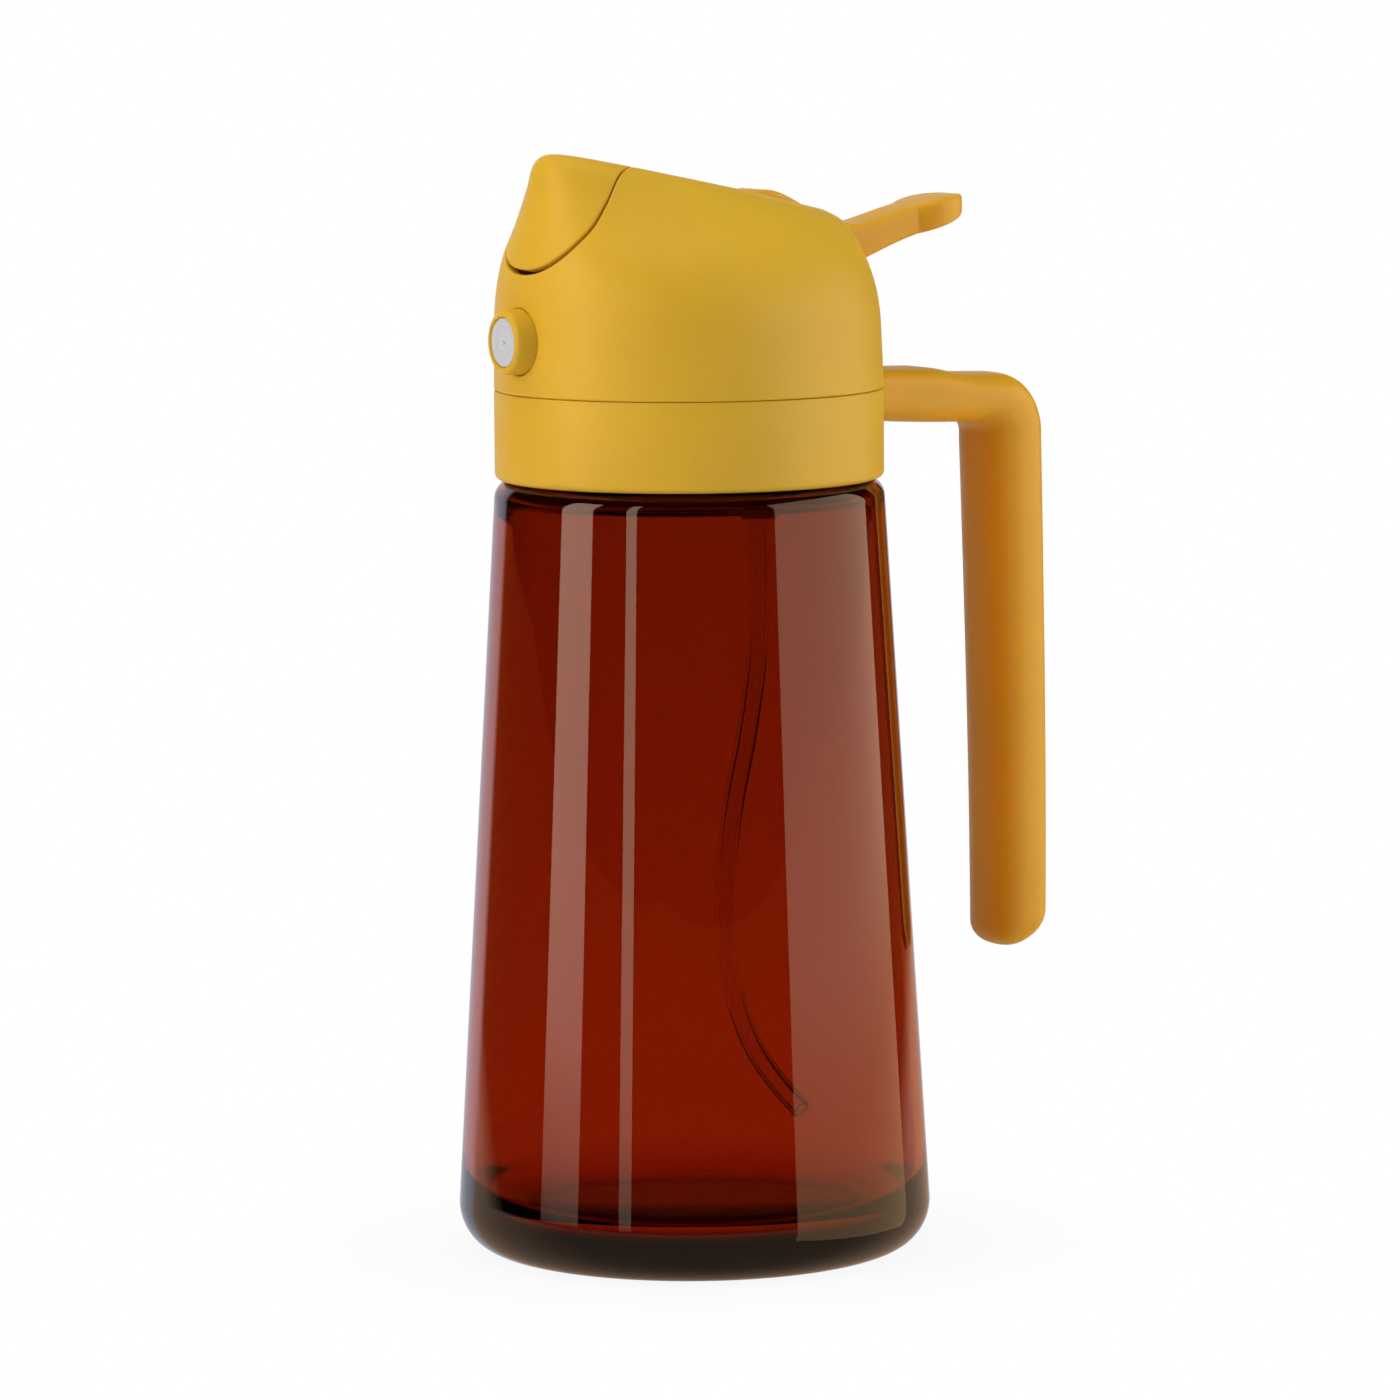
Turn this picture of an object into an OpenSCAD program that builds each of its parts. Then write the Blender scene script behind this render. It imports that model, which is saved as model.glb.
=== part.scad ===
// Glass oil bottle with a combined spray and pour head.
// Origin: centre of the foot ring on the surface it stands on.
// +Z is up, the spout and nozzle point along -X, the handle is at +X.

/* [Bottle] */
// Largest outer radius of the glass, just above the heel
glass_r = 40; // [36:0.5:46]
// Height of the widest point above the table
heel_h = 8; // [6:0.5:12]
// Outer radius of the ring that the bottle stands on
foot_r = 33; // [30:0.5:34]
// Outer radius of the glass under the collar
shoulder_r = 32.9; // [31:0.1:34]
// Radius of the rounded shoulder
shoulder_round = 4; // [3:0.5:5]
// Height of the shoulder, where the neck starts
shoulder_z = 131; // [120:1:140]
// Glass wall
glass_t = 2.2; // [1.8:0.1:2.6]
// Thickness of the glass floor
floor_t = 6; // [4:0.5:8]
// Outer radius of the neck
neck_r = 26; // [25:0.25:27]
// Wall of the neck
neck_t = 2.6; // [2.2:0.1:3]
// Height of the neck above the shoulder
neck_h = 8; // [7:0.5:9]

/* [Collar and seal] */
// Outer radius of the collar and of the foot of the head
head_r = 32.75; // [31.5:0.25:34]
// Wall of the collar skirt
collar_t = 1.6; // [1.2:0.1:2]
// Wall of the screw ring inside the collar
screw_t = 1.9; // [1.4:0.1:2.2]
// Web that joins the screw ring to the skirt
web_t = 1.8; // [1.4:0.1:2.4]
// Gap round the neck
thread_gap = 0.35; // [0.2:0.05:0.5]
// Thickness of the silicone seal
seal_t = 1.4; // [1:0.1:2]
// Height of the seam between collar and head above the collar web
seam_rise = 5.6; // [5:0.2:7]

/* [Deck] */
// Thickness of the inner deck
deck_t = 2.2; // [1.8:0.1:3]
// Room between the deck and the collar skirt
deck_gap = 2.85; // [2.4:0.05:3.4]
// Distance from the bottle axis to the pump axis
pump_x = 13.6; // [12:0.2:15]

/* [Head shell] */
// Wall of the moulded shell and of the flap
shell_t = 1.8; // [1.4:0.1:2.2]
// Height of the beak above the seam
beak_h = 39.8; // [36:0.2:44]
// Gap between the flap and the shell at its sides
flap_gap = 0.45; // [0.35:0.05:0.6]
// Gap under the front of the flap
flap_gap_front = 0.85; // [0.6:0.05:1.4]
// Half width of the flap
flap_w = 12.3; // [11.5:0.1:13]
// Height of the widest part of the flap above the seam
flap_h = 30; // [29:0.2:31]
// Drop of the flap's round lower edge below its widest part
flap_drop = 9; // [8:0.2:10]
// Where the flap ends on the ridge
flap_x = -11.3; // [-12:0.1:-10.5]

/* [Nozzle] */
// Height of the nozzle axis above the seam
nozzle_h = 9; // [8:0.2:10]
// Outer radius of the nozzle rim
rim_r = 5.25; // [5:0.05:5.6]
// Radius of the white nozzle disc
disc_r = 4.1; // [3.9:0.05:4.3]
// How far the nozzle stands out of the head
nozzle_out = 3; // [2:0.1:4]
// Radius of the spray hole
jet_r = 0.3; // [0.2:0.05:0.5]

/* [Lever] */
// Width of the lever arm
lever_w = 9.6; // [8.6:0.1:10.4]
// Half width of the thumb pad
pad_r = 6.6; // [6:0.1:7.4]
// Half length of the thumb pad
pad_l = 6; // [5.4:0.1:6.6]
// How far the lever reaches out behind the head
lever_out = 20.25; // [18:0.25:23]
// Clearance of the lever in its slot
lever_gap = 0.6; // [0.5:0.1:0.8]
// Radius of the lever pin
pin_r = 1.5; // [1.3:0.1:1.7]
// Running clearance of pins in their holes
run_gap = 0.05; // [0.03:0.01:0.08]
// Angle through which the lever is pressed
press_deg = 16; // [10:1:16]

/* [Pump] */
// Bore radius of the pump
bore_r = 4.2; // [4:0.05:4.4]
// Wall of the pump body
pump_t = 1.2; // [1:0.1:1.4]
// Stroke of the piston
stroke = 4.03; // [3:0.01:4.1]
// Radius of the spring wire
wire_r = 0.45; // [0.35:0.05:0.5]
// Turns of the return spring
spring_turns = 5; // [4:1:6]
// Radius of the inlet ball
ball_r = 1.9; // [1.7:0.05:2]
// Outer radius of the dip tube
tube_r = 1.75; // [1.5:0.05:1.9]
// Wall of the dip tube
tube_t = 0.7; // [0.5:0.05:0.9]

/* [Handle] */
// Height of the handle arm at the collar
arm_h = 8.75; // [8.2:0.05:9.4]
// How much the arm swells towards the elbow
arm_swell = 0.8; // [0:0.05:1.4]
// Height of the handle where the elbow turns down
elbow_h = 8.3; // [7.6:0.1:9.4]
// How far the underside of the arm falls from the collar to the elbow
arm_drop = 1.65; // [0:0.05:2.5]
// Width of the handle arm
arm_w = 16; // [14:0.5:18]
// How far the outside of the elbow reaches back along the arm
elbow_out = 8.5; // [7:0.5:11]
// How far the outside of the elbow reaches down the grip
elbow_down = 10.5; // [8:0.5:12]
// Radius in the inner corner of the elbow
elbow_in = 2.2; // [1.6:0.2:4]
// Depth of the grip at the elbow, measured away from the bottle
grip_d = 11.4; // [10:0.2:13]
// Width of the grip at the elbow
grip_w = 17; // [15:0.2:19]
// How much the depth of the grip tapers to its lower end
grip_taper_d = 0.8; // [0:0.1:1.6]
// How much the width of the grip tapers to its lower end
grip_taper_w = 1.4; // [0:0.1:2.4]
// Distance from the bottle axis to the middle of the grip
grip_x = 62.6; // [58:0.2:68]
// How far the grip leans outward from top to bottom
grip_lean = 1.4; // [0:0.1:3]
// Height of the lower end of the grip
grip_end_z = 46.5; // [30:0.5:70]
// Rounding of the lower end on the side of the bottle
end_in_r = 3.4; // [2.6:0.2:4]
// Rounding of the lower end on the outer side
end_out_r = 6; // [4:0.2:6.4]
// Tilt of the lower end, its outer side higher
grip_end_tilt = 28; // [0:1:35]

/* [Hidden] */
$fn = 96;
eps = 0.01;

yellow = [0.86, 0.68, 0.24];
lever_yellow = [0.87, 0.66, 0.24];
amber = [0.42, 0.16, 0.05, 0.75];
natural = [0.93, 0.93, 0.90];
steel = [0.75, 0.76, 0.78];

// stack of heights
mouth_r = neck_r - neck_t;               // inner radius of the neck
rim_z = shoulder_z + neck_h;             // top of the glass
deck_z = rim_z + seal_t;                 // underside of the deck, top of the collar web
deck_top = deck_z + deck_t;
seam_z = deck_z + seam_rise;             // joint between collar and head shell
nozzle_z = seam_z + nozzle_h;
lever_end = head_r + lever_out;
skirt_in = head_r - collar_t;            // inner radius of the collar skirt
screw_in = neck_r + thread_gap;
deck_r = skirt_in - deck_gap;

// pump stack
pump_r = bore_r + pump_t;
flange_t = 1.6;
flange_r = pump_r + 2.2;
pump_base = deck_z - 6.4;                // lower end of the pump body
seat_r = 3.6;                            // socket of the inlet valve in the pump body
cage_top = deck_z + 5.5;                 // underside of the web over the inlet ball
bore_z = cage_top + 1.7;                 // bottom of the bore
port_z = bore_z + 1;                     // outlet port
piston_z = port_z + 1 + stroke;          // underside of the piston at rest
spring_z = deck_z + 10.6;                // spring seat
spring_seat_t = 1.2;
pump_top = piston_z + 6.6;
cap_z = pump_top + stroke + 1;           // underside of the piston cap at rest
cap_t = 2.7;
washer_t = 0.8;
seal_w = 1.6;
ball_seat_z = cage_top - 5.2;
cap_r = pump_r + 1.8;
spring_r = pump_r + 0.5 + wire_r;        // mean radius of the spring

// nozzle, measured back from its front face
face_x = -head_r - nozzle_out;
body_r = disc_r + 0.05;
core_x = face_x + 5.35;                  // back of the swirl core
ball_x = core_x + 2.8;                   // seat of the outlet ball
body_back = core_x + 5.55;               // rear end of the nozzle body

// pour channel, just behind the nozzle body
channel_r = 6.6;
channel_t = 1.2;
channel_tilt = 20;
channel_gap = 2.5;
channel_x = body_back + channel_gap + channel_r / cos(channel_tilt) + (nozzle_z - deck_z) * tan(channel_tilt);

// lever
nose_r = 3;
lever_front = pump_x - 3.3;
pivot_x = channel_x + 9;
pivot_z = cap_z + cap_t + 0.05 + nose_r;
cheek_t = 1.8;

// feed hose between pump and nozzle
feed_r = 1.8;
feed_y = 11.2;
feed_bend = 4;
feed_x = face_x + 9.15;

// flap pivot
flap_px = flap_x - 2.7;
flap_pz = seam_z + beak_h - 5.4;
flap_pin_r = 0.9;
lug_r = 1.5;

// tongue of the handle
tongue_w = 12;

// ---------------------------------------------------------------- helpers

// point on a smooth curve through the rows of p, t from 0 to 1
function spline(p, t) =
    let(n = len(p) - 1, s = min(t * n, n - 1e-6), i = floor(s), u = s - i,
        a = i > 0 ? p[i - 1] : 2 * p[0] - p[1], b = p[i], c = p[i + 1],
        d = i + 2 <= n ? p[i + 2] : 2 * p[n] - p[n - 1])
    0.5 * (2 * b + (c - a) * u + (2 * a - 5 * b + 4 * c - d) * u * u + (3 * b - a - 3 * c + d) * u * u * u);

function curve(p, n) = [for (i = [0 : n]) spline(p, i / n)];

// radius factor of a superellipse with exponent e at angle q
function squircle(q, e) = pow(pow(abs(cos(q)), e) + pow(abs(sin(q)), e), -1 / e);

// closed solid through equal rings of points, capped at both ends
module skin(rings) {
    n = len(rings[0]);
    m = len(rings);
    polyhedron(
        points = [for (r = rings) for (p = r) p],
        faces = concat(
            [[for (j = [0 : n - 1]) j]],
            [for (i = [0 : m - 2]) for (j = [0 : n - 1]) let(k = (j + 1) % n)
                each [[i * n + j, (i + 1) * n + j, (i + 1) * n + k], [i * n + j, (i + 1) * n + k, i * n + k]]],
            [[for (j = [n - 1 : -1 : 0]) (m - 1) * n + j]]));
}

module along_y(x, y, z, r, h) translate([x, y, z]) rotate([-90, 0, 0]) cylinder(r = r, h = h);
module along_x(x, y, z, r, h) translate([x, y, z]) rotate([0, 90, 0]) cylinder(r = r, h = h);
module tube(r, t, h) difference() { cylinder(r = r, h = h); translate([0, 0, -1]) cylinder(r = r - t, h = h + 2); }

// ---------------------------------------------------------------- bottle

module glass_bottle() {
    out = concat(
        [[foot_r - 6, 0.6], [foot_r - 5, 0], [foot_r - 0.6, 0]],
        [for (a = [-80 : 10 : 0]) [foot_r + (glass_r - foot_r) * cos(a), heel_h + heel_h * sin(a)]],
        [[shoulder_r, shoulder_z - shoulder_round]],
        [for (a = [15 : 15 : 90]) [shoulder_r + shoulder_round * (cos(a) - 1), shoulder_z + shoulder_round * (sin(a) - 1)]],
        [[neck_r + 0.6, shoulder_z], [neck_r, shoulder_z + 0.6], [neck_r, rim_z - 0.6], [neck_r - 0.6, rim_z]]);
    in = concat(
        [[mouth_r + 0.6, rim_z], [mouth_r, rim_z - 0.6], [mouth_r, shoulder_z - 0.4]],
        [for (a = [90 : -15 : 0]) [shoulder_r - glass_t + shoulder_round * (cos(a) - 1), shoulder_z - glass_t + shoulder_round * (sin(a) - 1)]],
        [for (a = [0 : -15 : -90]) [glass_r - glass_t - 9 + 9 * cos(a), floor_t + 6 + 6 * sin(a)]],
        [[0, floor_t]]);
    color(amber) rotate_extrude() polygon(concat([[0, 1.6], [foot_r - 9, 1.4]], out, in));
}

// ---------------------------------------------------------------- collar, seal and deck

module neck_gasket() {
    color(natural) translate([0, 0, rim_z]) tube(neck_r - 0.1, neck_r - mouth_r - 0.4, seal_t);
}

module collar() {
    low = shoulder_z - 0.1;
    color(yellow) difference() {
        rotate_extrude() {
            polygon([[skirt_in, low], [head_r - 1.2, low], [head_r - 0.35, low + 0.35], [head_r, low + 1.2],
                [head_r, seam_z - 0.3], [head_r - 0.3, seam_z], [skirt_in, seam_z]]);
            translate([screw_in, deck_z - web_t]) square([skirt_in - screw_in + eps, web_t]);
            translate([screw_in, low + 0.8]) square([screw_t, deck_z - low - 0.8]);
        }
        // notch that the tongue of the handle drops into
        translate([skirt_in - 1, -tongue_w / 2 - 0.1, deck_z + 0.6]) cube([collar_t + 2, tongue_w + 0.2, seam_rise]);
    }
}

module inner_deck() {
    color(natural) {
        difference() {
            union() {
                translate([0, 0, deck_z]) cylinder(r = deck_r, h = deck_t);
                // spigot that centres the deck in the mouth of the bottle
                translate([0, 0, deck_z - 4]) tube(mouth_r - 0.6, 1.6, 4);
                // cheeks that carry the lever pin
                for (s = [-1, 1]) translate([pivot_x, s * (lever_w / 2 + 0.4 + cheek_t / 2), 0]) hull() {
                    translate([-3.5, -cheek_t / 2, deck_top - eps]) cube([8, cheek_t, 1]);
                    along_y(0, -cheek_t / 2, pivot_z, pin_r + 1.6, cheek_t);
                }
            }
            translate([pump_x, 0, deck_z - 5]) cylinder(r = pump_r + 0.1, h = deck_t + 6);
            channel_solid(channel_r - channel_t, deck_z - 6, deck_top + 1);
            along_y(pivot_x, -20, pivot_z, pin_r + 0.01, 40);
        }
    }
}

// ---------------------------------------------------------------- head shell

// rows: front x, front z, rear x, rear z, half width, exponent, share of the wall taken off the top
function head_rows() = let(r = head_r, s = seam_z, b = seam_z + beak_h) [
    [-r,        s + 0.3,  r,        s + 0.3,  r,        2.00, 0.0],
    [-r + 0.1,  s + 7,    r - 0.25, s + 7,    r - 0.25, 2.00, 0.0],
    [-r + 0.35, s + 15,   r - 0.85, s + 14.5, r - 1.25, 2.05, 0.1],
    [-r + 1.1,  b - 17.6, r - 2.15, s + 21,   r - 5.25, 2.10, 0.3],
    [-r + 2.5,  b - 11.6, r - 4.4,  s + 26.6, 21.0,     2.15, 0.5],
    [-r + 3.8,  b - 5.6,  r - 7.5,  s + 29.0, 15.5,     2.20, 0.7],
    [-r + 4.5,  b - 1.6,  r - 10.8, s + 29.9, 12.0,     2.20, 0.9],
    [-r + 6.7,  b,        r - 14.3, s + 30.8,  9.0,     2.20, 1.0],
    [-r + 11.4, b - 0.5,  r - 19.8, s + 31.7,  5.5,     2.10, 1.0],
    [-r + 18.8, b - 2.0,  r - 27.8, s + 32.9,  1.5,     2.00, 1.0]];

// one tilted ring of the head; w is the wall taken off
function head_ring(v, w, n) =
    let(k = v[6] * w, cut = min(w, v[4] * 0.6), xf = v[0] + w, xr = v[2] - w, c = (xf + xr) / 2, a = (xr - xf) / 2)
    [for (j = [0 : n - 1]) let(q = 360 * j / n, f = squircle(q, v[5]), x = c + a * f * cos(q))
        [x, (v[4] - cut) * f * sin(q), v[1] - k + (v[3] - v[1]) * (x - xf) / (xr - xf)]];

module head_solid(w, n, m) {
    rows = head_rows();
    // foot ring: chamfered at the seam outside, run through it inside
    foot = concat(w > 0 ? [-head_r, seam_z - 1, head_r, seam_z - 1, head_r] : [-head_r + 0.3, seam_z, head_r - 0.3, seam_z, head_r - 0.3], [2, 0]);
    skin(concat([head_ring(foot, w, n)], [for (i = [0 : m]) head_ring(spline(rows, i / m), w, n)]));
}

// outline of the flap seen from the front, grown by g, with the drop grown by h
module flap_front(g, h) rotate([90, 0, -90]) translate([0, 0, 8]) linear_extrude(40) polygon(concat(
    [for (q = [180 : 7.5 : 360]) let(f = squircle(q, 2.2))
        [(flap_w + g) * f * cos(q), seam_z + flap_h + (flap_drop + h) * f * sin(q)]],
    [[flap_w + g, seam_z + 60], [-flap_w - g, seam_z + 60]]));

// the flap's edge over the ridge, in plan
function flap_edge(y) = flap_x - 0.078 * y * y;
module flap_plan(g) translate([0, 0, seam_z + 15]) linear_extrude(40) polygon(concat(
    [for (y = [-14 : 1 : 14]) [flap_edge(y) + g, y]], [[-50, 14], [-50, -14]]));

// drum round the flap pivot that clears the swing of an edge set back by g, between half widths y0 and y1
function edge_top(y) = seam_z + beak_h - 2.1 + 0.008 * y * y - 0.42 * pow(max(0, abs(y) - 8), 2);
function edge_reach(y, g) = norm([flap_edge(y) + g - flap_px, edge_top(y) - flap_pz]);
module swing_drum(y0, y1, g, c, s) translate([flap_px, 0, flap_pz]) rotate([-90 * s, 0, 0]) rotate_extrude()
    polygon(concat([[0, y0]], [for (i = [0 : 6]) let(y = y0 + (y1 - y0) * i / 6) [edge_reach(y, g) + c, y]], [[0, y1]]));

module head_shell() {
    slot_w = lever_w / 2 + lever_gap;
    color(yellow) difference() {
        head_solid(0, 64, 22);
        head_solid(shell_t, 40, 14);
        intersection() { flap_front(flap_gap, flap_gap_front); flap_plan(flap_gap); }
        for (s = [-1, 1]) swing_drum(0, 5.8, 0, 0.3, s);
        along_x(-head_r - 2, 0, nozzle_z, rim_r + 0.5, 14);
        // slot for the lever, over the rear shoulder and down the back
        translate([lever_front - 0.5, -slot_w, seam_z + 9.5]) cube([40, 2 * slot_w, 40]);
        // notch over the tongue of the handle
        translate([head_r - 8, -tongue_w / 2 - 0.1, seam_z - 1]) cube([12, tongue_w + 0.2, 2.3]);
    }
}

// ---------------------------------------------------------------- spout

// where the middle of the slanted pour channel is at height z
function channel_mid(z) = channel_x - (z - deck_z) * tan(channel_tilt);

// inside or outside of the channel, between two heights
module channel_solid(r, z0, z1) intersection() {
    translate([channel_x, 0, deck_z]) rotate([0, -channel_tilt, 0]) translate([0, 0, -20]) cylinder(r = r, h = 80);
    translate([-50, -20, z0]) cube([80, 40, z1 - z0]);
}

module pour_channel() {
    top = flap_pz - 10.6;
    color(natural) difference() {
        union() {
            channel_solid(channel_r, deck_top, top);
            // foot flange on the deck
            translate([channel_x, 0, deck_top]) cylinder(r = channel_r + 0.8, h = 1);
            // ears that carry the flap pin
            for (s = [-1, 1]) hull() {
                along_y(flap_px, s * 3 - 0.8, flap_pz, lug_r, 1.6);
                translate([channel_mid(top - 5) + 2.4, s * 3 - 0.8, top - 5]) cube([3.6, 1.6, 1]);
            }
        }
        channel_solid(channel_r - channel_t, deck_z - 5, top + 1);
        along_y(flap_px, -10, flap_pz, flap_pin_r + run_gap, 20);
    }
}

module spout_flap() {
    color(yellow) difference() {
        union() {
            difference() {
                intersection() {
                    head_solid(0, 64, 22);
                    flap_front(0, 0);
                    flap_plan(0);
                }
                head_solid(shell_t, 40, 14);
                // the skin is undercut where it lifts past the shell
                for (s = [-1, 1]) swing_drum(5.7, 10.8, flap_gap, 0.1, s);
            }
            // lugs that hang on the pin, outside the ears
            for (s = [-1, 1]) hull() {
                along_y(flap_px, s * 5 - 0.8, flap_pz, lug_r, 1.6);
                translate([flap_px - 3, s * 5 - 0.8, flap_pz + 1]) cube([3, 1.6, 1.6]);
            }
        }
        along_y(flap_px, -10, flap_pz, flap_pin_r, 20);
    }
}

module flap_pin() color(steel) along_y(flap_px, -6, flap_pz, flap_pin_r, 12);

// ---------------------------------------------------------------- lever

module lever_profile() {
    // heights above the pivot; the front follows the pivot and the pump, the rear follows the head
    p = pivot_x;
    f = lever_front;
    r = head_r;
    top = [[p - 1.6, 2.6], [p + 2, 3.2], [p + 7, 3.9], [f - 0.7, 4.8], [f + 0.6, 7.2], [f + 2.7, 8.0], [f + 5.7, 7.3],
        [r - 12.75, 5.3], [r - 7.75, 2.9], [r - 2.75, 1.75], [r + 1.25, 2.2], [r + 6.75, 3.7], [lever_end - 8.5, 4.95]];
    low = [[r + 10.25, -0.3], [r + 5.55, -1.8], [r + 0.45, -3.8], [r - 1.75, -4.2], [r - 5.75, -3.4], [r - 10.75, -0.6],
        [pump_x + 4.4, 1.2], [pump_x - 4.6, 0.6], [p + 5, -1.6]];
    // the pad rises to a blunt end, thinner than the arm
    end = [[lever_end - 4, 5.9], [lever_end, 6.2], [lever_end, 3.2], [lever_end - 1.5, 2.4], [lever_end - 6, 0.9]];
    translate([0, pivot_z]) polygon(concat(curve(concat(top, [end[0], end[1]]), 52), curve(concat([end[2], end[3], end[4]], low), 44)));
}

module thumb_lever() {
    color(lever_yellow) difference() {
        union() {
            intersection() {
                rotate([90, 0, 0]) linear_extrude(40, center = true) lever_profile();
                translate([0, 0, pivot_z - 20]) linear_extrude(60) union() {
                    translate([pivot_x - 6, -lever_w / 2]) square([lever_end - pad_l - pivot_x + 6, lever_w]);
                    // thumb pad, a little wider than the arm
                    translate([lever_end - pad_l, 0]) scale([pad_l / pad_r, 1]) circle(r = pad_r);
                }
            }
            along_y(pivot_x, -lever_w / 2, pivot_z, pin_r + 2, lever_w);
            // rounded nose that bears on the piston cap
            along_y(pump_x, -2.4, pivot_z, nose_r, 4.8);
        }
        along_y(pivot_x, -20, pivot_z, pin_r + run_gap, 40);
    }
}

module lever_pin() color(steel) along_y(pivot_x, -lever_w / 2 - 0.4 - cheek_t, pivot_z, pin_r, lever_w + 0.8 + 2 * cheek_t);

// ---------------------------------------------------------------- pump

module at_pump() translate([pump_x, 0, 0]) children();

module pump_body() {
    color(natural) difference() {
        union() {
            at_pump() translate([0, 0, pump_base]) cylinder(r = pump_r, h = pump_top - pump_base);
            at_pump() translate([0, 0, deck_top + washer_t]) cylinder(r = flange_r, h = flange_t);
            at_pump() translate([0, 0, spring_z]) cylinder(r = cap_r, h = spring_seat_t);
            along_y(pump_x, pump_r - 1, port_z, 1, feed_y - feed_bend - pump_r + 1);
        }
        at_pump() translate([0, 0, bore_z]) cylinder(r = bore_r, h = 40);
        at_pump() translate([0, 0, pump_base - 1]) cylinder(r = seat_r, h = cage_top - pump_base + 1);
        at_pump() translate([0, 0, cage_top - 1]) cylinder(r = 1.5, h = 4);
        along_y(pump_x, 0, port_z, 0.6, 12);
    }
}

module pump_washer() color(natural) at_pump() translate([0, 0, deck_top]) tube(flange_r, flange_r - pump_r - 0.1, washer_t);

module pump_piston() {
    groove = piston_z + 1;
    color(natural) at_pump() difference() {
        union() {
            translate([0, 0, piston_z]) cylinder(r = bore_r - 0.15, h = 3.6);
            translate([0, 0, piston_z + 3.6]) cylinder(r = 2.6, h = cap_z - piston_z - 3.6 + eps);
            translate([0, 0, cap_z]) cylinder(r = cap_r, h = cap_t);
        }
        translate([0, 0, groove]) tube(bore_r + 1, 2.0, seal_w);
    }
}

module piston_seal() color([0.25, 0.25, 0.27]) at_pump() translate([0, 0, piston_z + 1]) tube(bore_r - 0.03, 0.97, seal_w);

// coil of round wire between the seat and the cap
module return_spring() {
    z0 = spring_z + spring_seat_t + wire_r;
    z1 = cap_z - wire_r;
    steps = 12 * spring_turns;
    color(steel) skin([for (i = [0 : steps]) let(q = 360 * spring_turns * i / steps)
        [for (j = [0 : 7]) let(p = 45 * j, r = spring_r + wire_r * cos(p))
            [pump_x + r * cos(q), -r * sin(q), z0 + (z1 - z0) * i / steps + wire_r * sin(p)]]]);
}

module inlet_valve_seat() {
    top = cage_top - 0.1;
    color(natural) at_pump() difference() {
        union() {
            translate([0, 0, pump_base]) cylinder(r = seat_r - 0.05, h = top - pump_base);
            translate([0, 0, pump_base - 1.6]) cylinder(r = pump_r, h = 1.6);
            translate([0, 0, pump_base - 10]) cylinder(r = tube_r + 1.3, h = 9);
        }
        translate([0, 0, ball_seat_z]) cylinder(r = ball_r + 0.5, h = 20);
        translate([0, 0, pump_base - 11]) cylinder(r = 1.3, h = 40);
        translate([0, 0, pump_base - 11]) cylinder(r = tube_r + 0.05, h = 14.6);
    }
}

module inlet_ball() color(steel) at_pump() translate([0, 0, ball_seat_z + sqrt(ball_r * ball_r - 1.3 * 1.3)]) sphere(r = ball_r);

// ---------------------------------------------------------------- tubes

// middle of the dip tube: straight out of the socket, then a lazy S that ends near the heel
function dip_route() = [[pump_x, pump_base + 3], [pump_x, pump_base - 10], [13.4, 104], [11.2, 88], [8.0, 74], [6.3, 60],
    [7.2, 46], [11, 34.5], [16, 27], [21.2, 21.4]];

// ring of n points round p, square to the heading d in the XZ plane
function tube_ring(p, d, r, n) = let(u = d / norm(d)) [for (j = [0 : n - 1]) let(q = 360 * j / n)
    [p[0] - r * cos(q) * u[1], -r * sin(q), p[1] + r * cos(q) * u[0]]];

module dip_path(r, over) {
    route = dip_route();
    m = 26;
    function at(i) = spline(route, i / m);
    function heading(i) = at(min(i + 0.5, m)) - at(max(i - 0.5, 0));
    skin([for (i = [0 : m]) let(h = heading(i) / norm(heading(i)), shift = i == 0 ? -over : i == m ? over : 0)
        tube_ring(at(i) + h * shift, h, r, 12)]);
}
module dip_tube() color([0.9, 0.9, 0.86, 0.8]) difference() { dip_path(tube_r, 0); dip_path(tube_r - tube_t, 1); }

// hose from the pump port to the nozzle, round the side of the pour channel
module feed_path(r) {
    len = norm([pump_x - feed_x, nozzle_z - port_z]);
    tilt = atan2(nozzle_z - port_z, pump_x - feed_x);
    translate([pump_x, 0, port_z]) rotate([0, tilt, 0]) {
        for (x = [0, -len]) translate([x, 5.9, 0]) rotate([-90, 0, 0]) cylinder(r = r, h = feed_y - feed_bend - 5.9, $fn = 32);
        translate([-feed_bend, feed_y - feed_bend, 0]) rotate_extrude(angle = 90) translate([feed_bend, 0]) circle(r = r, $fn = 32);
        translate([-len + feed_bend, feed_y - feed_bend, 0]) rotate([0, 0, 90]) rotate_extrude(angle = 90) translate([feed_bend, 0]) circle(r = r, $fn = 32);
        translate([-len + feed_bend, feed_y, 0]) rotate([0, 90, 0]) cylinder(r = r, h = len - 2 * feed_bend, $fn = 32);
    }
}
module feed_tube() color([0.9, 0.9, 0.86]) difference() { feed_path(feed_r); feed_path(1.02); }

// ---------------------------------------------------------------- nozzle

module nozzle_bezel() {
    color(yellow) translate([0, 0, nozzle_z]) rotate([0, 90, 0]) rotate_extrude() polygon([
        [body_r + 0.05, face_x], [rim_r - 0.35, face_x], [rim_r - 0.1, face_x + 0.1], [rim_r, face_x + 0.35],
        [rim_r, face_x + 1.6], [rim_r + 0.15, face_x + 2.6], [rim_r + 0.4, face_x + 3.2], [rim_r + 0.4, face_x + 6.2],
        [rim_r + 1.3, face_x + 6.2], [rim_r + 1.3, face_x + 7.2], [body_r + 0.05, face_x + 7.2]]);
}

module nozzle_insert() {
    color([0.95, 0.95, 0.95]) translate([0, 0, nozzle_z]) rotate([0, 90, 0]) rotate_extrude() polygon([
        [jet_r, face_x + 1.0], [jet_r + 1, face_x + 0.25], [disc_r - 0.2, face_x + 0.25], [disc_r, face_x + 0.45],
        [disc_r, face_x + 2.4], [jet_r, face_x + 2.4]]);
}

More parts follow.
